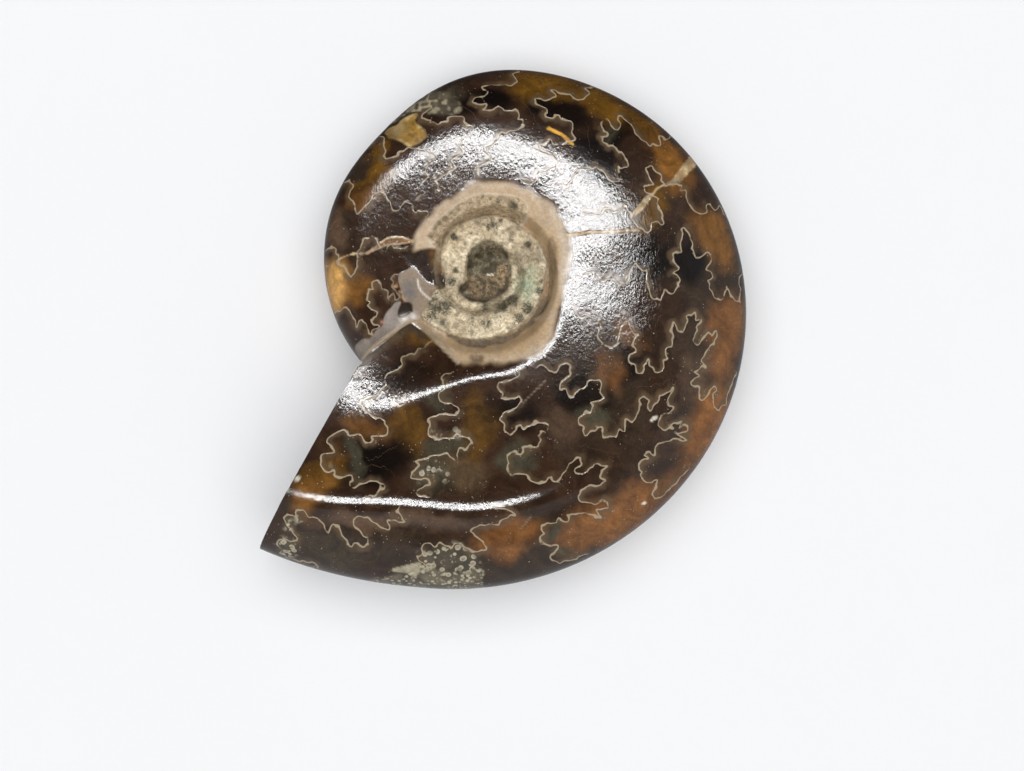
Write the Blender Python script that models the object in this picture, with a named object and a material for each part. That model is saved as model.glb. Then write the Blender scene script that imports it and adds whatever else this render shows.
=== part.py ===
"""A polished ammonite fossil, lying on one flank.

The shell is one solid. It is described as the real one grew, as a tube coiled on a logarithmic
spiral, and read as a height above and below its middle plane at every place in plan. A point in
plan is a radius from the coiling axis and a stage, the angle grown since the last whorl began.
Lengths are in millimetres until the mesh is made.
"""

import math

import bmesh
import bpy

MM = 0.001

# The rim, or venter: a spiral that grows clockwise, seen from above.
START_ANGLE = 215.5  # where the last whorl begins, in degrees from +X
START_RADIUS = 12.45
RIM_GROWTH = 0.1258  # per radian of growth
# Places where the rim leaves the spiral: stage and width in degrees, then height.
RIM_WORN_FLAT = (88, 20, -0.38)
RIM_SWELLING = (122, 26, 0.45)
LIP_STAGE = 346  # where the rim meets the saw cut
LIP_FLARE_FROM = 318  # the stage where the rim starts to straighten towards the cut
LIP_FLARE = 1.5
LIP_FLARE_POWER = 1.7

# The seam, where each whorl meets the one inside it: stage, then radius.
SEAM_STATIONS = (
    (-720, 1.7), (-360, 1.75), (-145, 1.85), (-55, 2.3), (0, 3.5), (35, 4.0), (80, 4.5),
    (125, 4.75), (170, 4.45), (215, 4.25), (260, 4.7), (305, 5.35), (335, 5.9), (365, 6.4),
)
SEAM_WALL = 0.8  # width in plan of the wall above the seam
HUB_HALF_THICKNESS = 0.95  # the first coils, worn down to a flat hub
HUB_STAGE = -720  # the stage where a whorl first rises out of the hub

# A whorl's section, from its seam to the rim.
LIP_HALF_THICKNESS = 5.6
THICKNESS_GROWTH = 0.094  # per radian
# Where the section is thickest, as a share of the way from seam to rim: stage, then share.
CREST = (
    (-720, 0.22), (0, 0.22), (100, 0.29), (140, 0.37), (160, 0.38), (185, 0.24), (215, 0.07),
    (245, 0.11), (265, 0.15), (290, 0.15), (331, 0.235), (352, 0.50), (365, 0.60),
)
# How far the flank falls from there to the seam: stage, then share of the thickness.
SHOULDER_DROP = ((-720, 0.14), (245, 0.14), (290, 0.20), (331, 0.30), (365, 0.36))
# How long the flank stays level before it drops to the rim: stage, then power.
FLANK_POWER = (
    (-720, 2.3), (0, 5.0), (60, 6.0), (100, 4.4), (140, 2.5), (180, 2.2), (215, 1.95),
    (250, 2.3), (285, 3.0), (320, 3.3), (365, 3.8),
)
NOSE_POWER = 0.42

# The saw cut that ends the last whorl, and the broken edge that goes on from it to the seam.
CUT_INNER = (-10.56, -7.52)
CUT_TIP = (-18.16, -21.36)
BROKEN_EDGE_FROM = 6.9  # radius at its seam end, where the hub's rings stop
BROKEN_EDGE_TURN = -4.8  # degrees that it stands back from the cut's inner end
BROKEN_EDGE_POWER = 2.2
BROKEN_EDGE_REACH = 32  # degrees over which the mesh bends to follow it

# The middle plane slopes, because the shell lies on the crests of its lower flank. They are
# lapped flat where it rests.
MIDDLE_HEIGHT = 4.36
MIDDLE_SLOPE_X = -0.007
MIDDLE_SLOPE_Y = -0.09

# How finely the mesh follows the form.
HUB_RING_COUNT = 15
HUB_RINGS_FROM = 1.1
HUB_RINGS_TO = BROKEN_EDGE_FROM
FLANK_SHARES = (0.1, 0.21, 0.33, 0.46, 0.59, 0.71, 0.82, 0.9, 0.96, 1.0)
NOSE_SHARES = (0.55, 0.0, -0.55)  # heights round the rim, as a share of the flank's end
FLANK_END = 0.97  # where the flank gives way to the rounded rim
CUT_COLUMNS = 8
COIL_COLUMNS = 72


def stage_bump(stage, centre, width, height):
    return height * math.exp(-(((stage - centre) / width) ** 2))


def along(stations, at):
    """A smooth curve through (place, value) pairs, read at one place."""
    places = [place for place, _ in stations]
    values = [value for _, value in stations]
    i = max(0, min(len(places) - 2, sum(at >= place for place in places) - 1))
    share = (at - places[i]) / (places[i + 1] - places[i])
    share = max(0.0, min(1.0, share))

    def slope(k):
        low, high = max(0, k - 1), min(len(places) - 1, k + 1)
        return (values[high] - values[low]) / (places[high] - places[low])

    span = places[i + 1] - places[i]
    square, cube = share**2, share**3
    return (
        (2 * cube - 3 * square + 1) * values[i]
        + (cube - 2 * square + share) * slope(i) * span
        + (3 * square - 2 * cube) * values[i + 1]
        + (cube - square) * slope(i + 1) * span
    )


def smooth_step(share):
    share = max(0.0, min(1.0, share))
    return share * share * (3 - 2 * share)


def rim_radius(stage):
    radius = START_RADIUS * math.exp(RIM_GROWTH * math.radians(stage))
    radius += stage_bump(stage, *RIM_WORN_FLAT) + stage_bump(stage, *RIM_SWELLING)
    if stage > LIP_FLARE_FROM:
        share = (stage - LIP_FLARE_FROM) / (LIP_STAGE - LIP_FLARE_FROM)
        radius += LIP_FLARE * share**LIP_FLARE_POWER
    return radius


def seam_radius(stage):
    return along(SEAM_STATIONS, stage)


def half_thickness(stage):
    return LIP_HALF_THICKNESS * math.exp(THICKNESS_GROWTH * math.radians(stage - 360))


def section(share, stage):
    """A whorl's half thickness as a share of its crest, at a share of the way from seam to rim."""
    crest = along(CREST, stage)
    if share < crest:
        inward = (crest - max(share, 0.0)) / crest
        return 1 - along(SHOULDER_DROP, stage) * inward**2
    out = min(1.0, (share - crest) / (1 - crest))
    return (1 - out ** along(FLANK_POWER, stage)) ** NOSE_POWER


def section_radius(height_share, stage):
    """The radius at which a whorl's outer flank has this share of its crest's half thickness."""
    drop = 1 - min(1.0, height_share) ** (1 / NOSE_POWER)
    crest = along(CREST, stage)
    share = crest + (1 - crest) * drop ** (1 / along(FLANK_POWER, stage))
    return seam_radius(stage) + share * (rim_radius(stage) - seam_radius(stage))


def shell_height(radius, stage):
    """Half the shell's thickness at a place. Inner whorls show inside the outer one's seam."""
    height = HUB_HALF_THICKNESS
    for whorl in (stage - 720, stage - 360, stage):
        seam = seam_radius(whorl)
        share = (radius - seam) / (rim_radius(whorl) - seam)
        own = half_thickness(whorl) * section(share, whorl)
        risen = smooth_step((whorl - HUB_STAGE) / 360)
        height += (own - height) * risen * smooth_step((radius - seam) / SEAM_WALL)
    return height


def hub_radii():
    step = (HUB_RINGS_TO - HUB_RINGS_FROM) / (HUB_RING_COUNT - 1)
    return [HUB_RINGS_FROM + i * step for i in range(HUB_RING_COUNT)]


def columns():
    """(angle at the rim, stage, radius of the edge) for each column of the mesh, one turn."""
    tip_angle = 360 + math.degrees(math.atan2(CUT_TIP[1], CUT_TIP[0]))
    made = []
    for i in range(CUT_COLUMNS):
        share = i / CUT_COLUMNS
        x = CUT_INNER[0] + share * (CUT_TIP[0] - CUT_INNER[0])
        y = CUT_INNER[1] + share * (CUT_TIP[1] - CUT_INNER[1])
        angle = 360 + math.degrees(math.atan2(y, x))
        made.append((angle, START_ANGLE + 360 - angle, math.hypot(x, y)))
    for i in range(COIL_COLUMNS + 1):
        angle = tip_angle + i / COIL_COLUMNS * (START_ANGLE + 360 - tip_angle)
        stage = START_ANGLE + 360 - angle
        made.append((angle, stage, rim_radius(stage)))
    return made


def broken_edge_turn(radius, angle):
    """How far a mesh column turns at this radius, so that two columns follow the broken edge."""
    edge_radius = math.hypot(*CUT_INNER)
    share = (radius - BROKEN_EDGE_FROM) / (edge_radius - BROKEN_EDGE_FROM)
    share = max(0.0, min(1.0, share))
    away = min(angle - START_ANGLE, START_ANGLE + 360 - angle)
    fade = 1 - smooth_step(away / BROKEN_EDGE_REACH)
    return BROKEN_EDGE_TURN * (1 - share**BROKEN_EDGE_POWER) * fade


def column_points(angle, stage, edge):
    """The (x, y, z) points down one column: top centre, out, round the rim and back below."""
    flank_end = min(edge, section_radius(section(FLANK_END, stage), stage))
    end_height = shell_height(flank_end, stage)
    upper = [(radius, shell_height(radius, stage)) for radius in hub_radii()]
    for share in FLANK_SHARES:
        radius = HUB_RINGS_TO + share * (flank_end - HUB_RINGS_TO)
        upper.append((radius, shell_height(radius, stage)))
    nose = []
    for share in NOSE_SHARES:
        height = share * end_height
        crest = half_thickness(stage)
        nose.append((min(edge, section_radius(abs(height) / crest, stage)), height))
    lower = [(radius, -height) for radius, height in reversed(upper)]
    points = []
    for radius, height in upper + nose + lower:
        turn = math.radians(angle + broken_edge_turn(radius, angle))
        x, y = radius * math.cos(turn), radius * math.sin(turn)
        middle = MIDDLE_HEIGHT + MIDDLE_SLOPE_X * x + MIDDLE_SLOPE_Y * y
        points.append((x, y, max(0.0, middle + height)))
    return points


def add_ammonite():
    skin = bmesh.new()
    rows = [
        [skin.verts.new(point) for point in column_points(*column)] for column in columns()
    ]
    top = skin.verts.new((0, 0, MIDDLE_HEIGHT + HUB_HALF_THICKNESS))
    bottom = skin.verts.new((0, 0, MIDDLE_HEIGHT - HUB_HALF_THICKNESS))
    for column, after in zip(rows, rows[1:] + rows[:1]):
        skin.faces.new((top, column[0], after[0]))
        for i in range(len(column) - 1):
            skin.faces.new((column[i], column[i + 1], after[i + 1], after[i]))
        skin.faces.new((column[-1], bottom, after[-1]))
    # Inside the seam the first and last columns lie on each other.
    bmesh.ops.remove_doubles(skin, verts=skin.verts, dist=0.001)
    bmesh.ops.dissolve_degenerate(skin, dist=0.001, edges=skin.edges)

    # The origin goes below the middle of the shell's box, on the surface that it rests on.
    low = [min(v.co[i] for v in skin.verts) for i in range(3)]
    high = [max(v.co[i] for v in skin.verts) for i in range(3)]
    to_middle = (-(low[0] + high[0]) / 2, -(low[1] + high[1]) / 2, -low[2])
    bmesh.ops.translate(skin, vec=to_middle, verts=skin.verts)
    bmesh.ops.scale(skin, vec=(MM, MM, MM), verts=skin.verts)
    bmesh.ops.recalc_face_normals(skin, faces=skin.faces)
    bmesh.ops.triangulate(skin, faces=skin.faces)

    mesh = bpy.data.meshes.new("ammonite")
    skin.to_mesh(mesh)
    skin.free()
    mesh.shade_smooth()
    mesh.set_sharp_from_angle(angle=math.radians(40))
    ammonite = bpy.data.objects.new("ammonite", mesh)
    bpy.context.scene.collection.objects.link(ammonite)
    return ammonite


def polished_calcite():
    """Dark amber calcite, ground and polished."""
    material = bpy.data.materials.new("polished_calcite")
    material.use_nodes = True
    shader = material.node_tree.nodes["Principled BSDF"]
    shader.inputs["Base Color"].default_value = (0.105, 0.052, 0.022, 1)
    shader.inputs["Roughness"].default_value = 0.18
    shader.inputs["Metallic"].default_value = 0.0
    return material


def clear_scene():
    for old in list(bpy.data.objects):
        bpy.data.objects.remove(old)


clear_scene()
add_ammonite().data.materials.append(polished_calcite())
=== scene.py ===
"""A polished ammonite fossil on a white table, seen from straight above.

The shell is one piece of stone. Its form is worked out in millimetres around its coiling axis, as
a height above and below a middle plane, and its markings are drawn on that plan.
"""

import math

import bpy
import numpy as np
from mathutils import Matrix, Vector


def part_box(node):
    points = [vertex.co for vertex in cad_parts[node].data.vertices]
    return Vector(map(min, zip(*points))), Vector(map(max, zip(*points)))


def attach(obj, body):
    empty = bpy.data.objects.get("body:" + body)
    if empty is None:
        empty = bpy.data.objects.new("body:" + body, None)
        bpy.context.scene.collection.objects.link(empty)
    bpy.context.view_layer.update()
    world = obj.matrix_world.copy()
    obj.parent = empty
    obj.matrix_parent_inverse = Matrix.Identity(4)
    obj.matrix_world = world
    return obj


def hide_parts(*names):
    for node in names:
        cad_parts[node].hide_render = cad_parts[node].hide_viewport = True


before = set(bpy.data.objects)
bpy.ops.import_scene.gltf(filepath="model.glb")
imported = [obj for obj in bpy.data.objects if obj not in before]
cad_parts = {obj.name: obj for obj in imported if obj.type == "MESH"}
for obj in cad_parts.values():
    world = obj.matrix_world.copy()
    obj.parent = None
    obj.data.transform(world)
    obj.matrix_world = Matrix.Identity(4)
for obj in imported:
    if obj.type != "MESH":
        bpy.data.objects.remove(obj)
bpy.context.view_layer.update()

MM = 0.001

# ---------------------------------------------------------------------------------------------
# The coil. The shell was a tube that its animal grew along a logarithmic spiral, clockwise seen
# from above. A place on it is an angle from +X and a stage, the degrees grown since the last
# whorl began. The rim strays a little from the spiral where it has been ground.
# ---------------------------------------------------------------------------------------------
START_ANGLE = 215.5
START_RADIUS = 12.45
RIM_GROWTH = 0.1258  # per radian
RIM_BUMPS = ((88, 20, -0.38), (122, 26, 0.45))  # stage, width and height
LIP_STAGE = 346  # where the rim meets the saw cut
LIP_FLARE_FROM = 318
LIP_FLARE = 1.5
LIP_FLARE_POWER = 1.7
LIP_HALF_THICKNESS = 5.6
THICKNESS_GROWTH = 0.094  # per radian
# The seam where each whorl meets the one inside it: stage, then radius.
SEAM_STATIONS = (
    (-720, 1.7), (-360, 1.75), (-145, 1.85), (-55, 2.3), (0, 3.5), (35, 4.0), (80, 4.5),
    (125, 4.75), (170, 4.45), (215, 4.25), (260, 4.7), (305, 5.35), (335, 5.9), (365, 6.4),
)


def along(stations, at):
    """A smooth curve through (place, value) pairs, read at an array of places."""
    places, values = np.array(stations, float).T
    slopes = np.gradient(values, places)
    i = np.clip(np.searchsorted(places, at, side="right") - 1, 0, len(places) - 2)
    span = places[i + 1] - places[i]
    share = np.clip((at - places[i]) / span, 0, 1)
    square, cube = share**2, share**3
    return (
        (2 * cube - 3 * square + 1) * values[i]
        + (cube - 2 * square + share) * slopes[i] * span
        + (3 * square - 2 * cube) * values[i + 1]
        + (cube - square) * slopes[i + 1] * span
    )


def smooth_step(share):
    share = np.clip(share, 0, 1)
    return share * share * (3 - 2 * share)


def bump(at, centre, width):
    return np.exp(-(((at - centre) / width) ** 2))


def rim_radius(stage):
    radius = START_RADIUS * np.exp(RIM_GROWTH * np.radians(stage))
    for centre, width, height in RIM_BUMPS:
        radius = radius + height * bump(stage, centre, width)
    share = np.clip((stage - LIP_FLARE_FROM) / (LIP_STAGE - LIP_FLARE_FROM), 0, None)
    return radius + LIP_FLARE * share**LIP_FLARE_POWER


def seam_radius(stage):
    return along(SEAM_STATIONS, stage)


def half_thickness(stage):
    return LIP_HALF_THICKNESS * np.exp(THICKNESS_GROWTH * np.radians(stage - 360))


# ---------------------------------------------------------------------------------------------
# A whorl's section. The polisher's wheel has left the flank broad, with a soft ridge where it
# turns down to the rim, which grows stronger towards the aperture. Earlier whorls show inside
# the seam, as steps down to a flat hub.
# ---------------------------------------------------------------------------------------------
# Where the section is thickest, as a share of the way from seam to rim: stage, then share.
CREST = (
    (-720, 0.22), (0, 0.22), (100, 0.29), (140, 0.37), (160, 0.38), (185, 0.24), (215, 0.07),
    (245, 0.11), (265, 0.15), (290, 0.15), (331, 0.235), (352, 0.50), (365, 0.60),
)
# How long the flank stays level before it drops to the rim: stage, then power.
FLANK_POWER = (
    (-720, 2.3), (0, 5.0), (60, 6.0), (100, 4.4), (140, 2.5), (180, 2.2), (215, 1.95),
    (250, 2.3), (285, 3.0), (320, 3.3), (365, 3.8),
)
# How far the flank falls from there to the seam: stage, then share of the thickness.
SHOULDER_DROP = ((-720, 0.14), (245, 0.14), (290, 0.20), (331, 0.30), (365, 0.36))
NOSE_POWER = 0.42
RIDGE_AT = ((250, 0.69), (308, 0.68), (330, 0.685), (346, 0.76), (365, 0.79))  # stage, then share
RIDGE_WIDTH = 0.042
RIDGE_HEIGHT = 0.058
RIDGE_FROM, RIDGE_TO = 270, 302  # the stages over which it rises
SEAM_WALL = 0.8
HUB_HALF_THICKNESS = 0.95
HUB_STAGE = -720


def section(share, stage):
    """Half thickness, as a share of the crest's, at a share of the way from seam to rim."""
    crest = along(CREST, stage)
    drop = along(SHOULDER_DROP, stage)
    inner = 1 - drop * np.clip((crest - np.clip(share, 0, 1)) / crest, 0, 1) ** 2
    out = np.clip((share - crest) / (1 - crest), 0, 1)
    outer = (1 - out ** along(FLANK_POWER, stage)) ** NOSE_POWER
    ridge = smooth_step((stage - RIDGE_FROM) / (RIDGE_TO - RIDGE_FROM))
    ridge = RIDGE_HEIGHT * ridge * bump(share, along(RIDGE_AT, stage), RIDGE_WIDTH)
    return np.where(share < crest, inner, outer) + ridge


def section_radius(height_share, stage):
    """The radius at which a whorl's outer flank has this share of its crest's thickness."""
    drop = 1 - np.clip(height_share, 0, 1) ** (1 / NOSE_POWER)
    crest = along(CREST, stage)
    share = crest + (1 - crest) * drop ** (1 / along(FLANK_POWER, stage))
    return seam_radius(stage) + share * (rim_radius(stage) - seam_radius(stage))


def shell_height(radius, stage):
    """Half the shell's thickness at a place in plan."""
    height = np.full(np.broadcast(radius, stage).shape, HUB_HALF_THICKNESS)
    for whorl in (stage - 720, stage - 360, stage):
        seam = seam_radius(whorl)
        share = (radius - seam) / (rim_radius(whorl) - seam)
        own = half_thickness(whorl) * section(share, whorl)
        risen = smooth_step((whorl - HUB_STAGE) / 360)
        height = height + (own - height) * risen * smooth_step((radius - seam) / SEAM_WALL)
    return height


# ---------------------------------------------------------------------------------------------
# The plan's outline. A saw cut ends the last whorl, and a broken edge goes on from its inner end
# to the seam. The whorl's two ends meet along that line, one above the other.
# ---------------------------------------------------------------------------------------------
CUT_INNER = (-10.56, -7.52)
CUT_TIP = (-18.16, -21.36)
CUT_EDGE_ROUNDING = 0.16
BROKEN_EDGE_FROM = 6.9  # radius at its seam end
BROKEN_EDGE_TURN = -4.8
BROKEN_EDGE_POWER = 2.2
BROKEN_EDGE_REACH = 32
CUT_COLUMNS = 100
COIL_COLUMNS = 780
JOIN_COLUMNS = 5  # down the step where the whorl's two ends meet
HUB_ROWS = 62
FLANK_ROWS = 124
NOSE_ROWS = 15
UNDER_HUB_ROWS = 30
UNDER_FLANK_ROWS = 50
FLANK_END = 0.97


def plan_columns():
    """(angle, stage, radius of the edge) of each column, once round from the cut's inner end."""
    tip_angle = 360 + math.degrees(math.atan2(CUT_TIP[1], CUT_TIP[0]))
    share = np.arange(CUT_COLUMNS) / CUT_COLUMNS
    x = CUT_INNER[0] + share * (CUT_TIP[0] - CUT_INNER[0])
    y = CUT_INNER[1] + share * (CUT_TIP[1] - CUT_INNER[1])
    cut_angle = 360 + np.degrees(np.arctan2(y, x))
    # Along the coil the columns stand equally far apart at the rim.
    even = np.linspace(tip_angle, START_ANGLE + 360, 4 * COIL_COLUMNS)
    length = np.cumsum(rim_radius(START_ANGLE + 360 - even))
    coil_angle = np.interp(np.linspace(length[0], length[-1], COIL_COLUMNS + 1), length, even)
    angle = np.concatenate([cut_angle, coil_angle])
    stage = START_ANGLE + 360 - angle
    return angle, stage, np.concatenate([np.hypot(x, y), rim_radius(stage[CUT_COLUMNS:])])


def plan_turn(radius, angle):
    """How far the columns turn so that the first and the last follow the broken edge."""
    share = (radius - BROKEN_EDGE_FROM) / (math.hypot(*CUT_INNER) - BROKEN_EDGE_FROM)
    away = np.minimum(angle - START_ANGLE, START_ANGLE + 360 - angle)
    fade = 1 - smooth_step(away / BROKEN_EDGE_REACH)
    return BROKEN_EDGE_TURN * (1 - np.clip(share, 0, 1) ** BROKEN_EDGE_POWER) * fade


def profile_rows(stage, edge):
    """Radius and height of each row of points, from the top's centre round to the underside's."""
    seam, rim = seam_radius(stage), rim_radius(stage)
    flank_end = np.minimum(edge, seam + FLANK_END * (rim - seam))
    on_cut = flank_end >= edge
    flank_end = np.where(on_cut, edge - CUT_EDGE_ROUNDING, flank_end)
    end_height = shell_height(flank_end, stage)
    rows = []

    def add_flank(hub_rows, flank_rows, side):
        hub = np.linspace(0, BROKEN_EDGE_FROM, hub_rows + 1)[1:]
        made = [np.full_like(stage, radius) for radius in hub]
        for k in range(1, flank_rows + 1):
            made.append(BROKEN_EDGE_FROM + k / flank_rows * (flank_end - BROKEN_EDGE_FROM))
        made = [(radius, side * shell_height(radius, stage)) for radius in made]
        rows.extend(made if side > 0 else reversed(made))

    add_flank(HUB_ROWS, FLANK_ROWS, 1)
    for k in range(1, NOSE_ROWS + 1):
        turn = math.pi * k / (NOSE_ROWS + 1)
        height = end_height * math.cos(turn)
        nose = section_radius(np.abs(height) / half_thickness(stage), stage)
        rounding = CUT_EDGE_ROUNDING * (1 - min(1, math.sin(turn) * 2))
        rows.append((np.where(on_cut, edge - rounding, np.minimum(edge, nose)), height))
    add_flank(UNDER_HUB_ROWS, UNDER_FLANK_ROWS, -1)
    return np.array([row[0] for row in rows]), np.array([row[1] for row in rows])


def ring_closed(rows):
    """Each row made a closed ring: the step between its two ends gets points of its own."""
    share = np.arange(1, JOIN_COLUMNS + 1) / (JOIN_COLUMNS + 1)
    join = rows[..., -1:] + share * (rows[..., :1] - rows[..., -1:])
    return np.concatenate([rows, join], axis=-1)


column_angle, column_stage, column_edge = plan_columns()
row_radius, row_height = profile_rows(column_stage, column_edge)
turned = np.radians(column_angle + plan_turn(row_radius, column_angle))
grid_x = ring_closed(row_radius * np.cos(turned))
grid_y = ring_closed(row_radius * np.sin(turned))
grid_height = ring_closed(row_height)
ring_size = grid_x.shape[1]

# Rows inside the hub and on the underside carry every second point only.
fine_from = HUB_ROWS
fine_to = HUB_ROWS + FLANK_ROWS + NOSE_ROWS
row_ids = []
kept = []
count = 1  # vertex 0 is the top's centre
for row in range(len(grid_x)):
    step = 1 if fine_from <= row < fine_to else 2
    ring = np.arange(0, ring_size, step)
    ids = count + np.arange(len(ring))
    count += len(ring)
    # Where the ring's two ends lie on each other, they share a vertex.
    gap = np.abs(grid_height[row, ring] - grid_height[row, 0])
    gap = gap + np.abs(grid_x[row, ring] - grid_x[row, 0])
    ids = np.where((ring >= ring_size - JOIN_COLUMNS - 1) & (gap < 1e-4), ids[0], ids)
    row_ids.append(ids)
    kept.append(np.stack([grid_x[row, ring], grid_y[row, ring], grid_height[row, ring]], axis=1))
centres = np.array([[0, 0, HUB_HALF_THICKNESS]])
points = np.concatenate([centres, *kept, centres * (1, 1, -1)])

triangles = []
for near, far in zip(row_ids, row_ids[1:]):
    near_next, far_next = np.roll(near, -1), np.roll(far, -1)
    if len(near) == len(far):
        triangles.append(np.stack([near, far, far_next], axis=1))
        triangles.append(np.stack([near, far_next, near_next], axis=1))
    elif len(near) < len(far):
        middle, after = far[1::2], np.roll(far[::2], -1)
        triangles.append(np.stack([near, far[::2], middle], axis=1))
        triangles.append(np.stack([near, middle, near_next], axis=1))
        triangles.append(np.stack([near_next, middle, after], axis=1))
    else:
        middle, after = near[1::2], np.roll(near[::2], -1)
        triangles.append(np.stack([near[::2], far, middle], axis=1))
        triangles.append(np.stack([middle, far, far_next], axis=1))
        triangles.append(np.stack([middle, far_next, after], axis=1))
first, last = row_ids[0], row_ids[-1]
triangles.append(np.stack([np.zeros_like(first), first, np.roll(first, -1)], axis=1))
triangles.append(np.stack([last, np.full_like(last, len(points) - 1), np.roll(last, -1)], axis=1))
triangles = np.concatenate(triangles)
a, b, c = triangles.T
triangles = triangles[(a != b) & (b != c) & (a != c)]
used, triangles = np.unique(triangles, return_inverse=True)
points, triangles = points[used], triangles.reshape(-1, 3)
plan, side_height = points[:, :2], points[:, 2]

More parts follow.
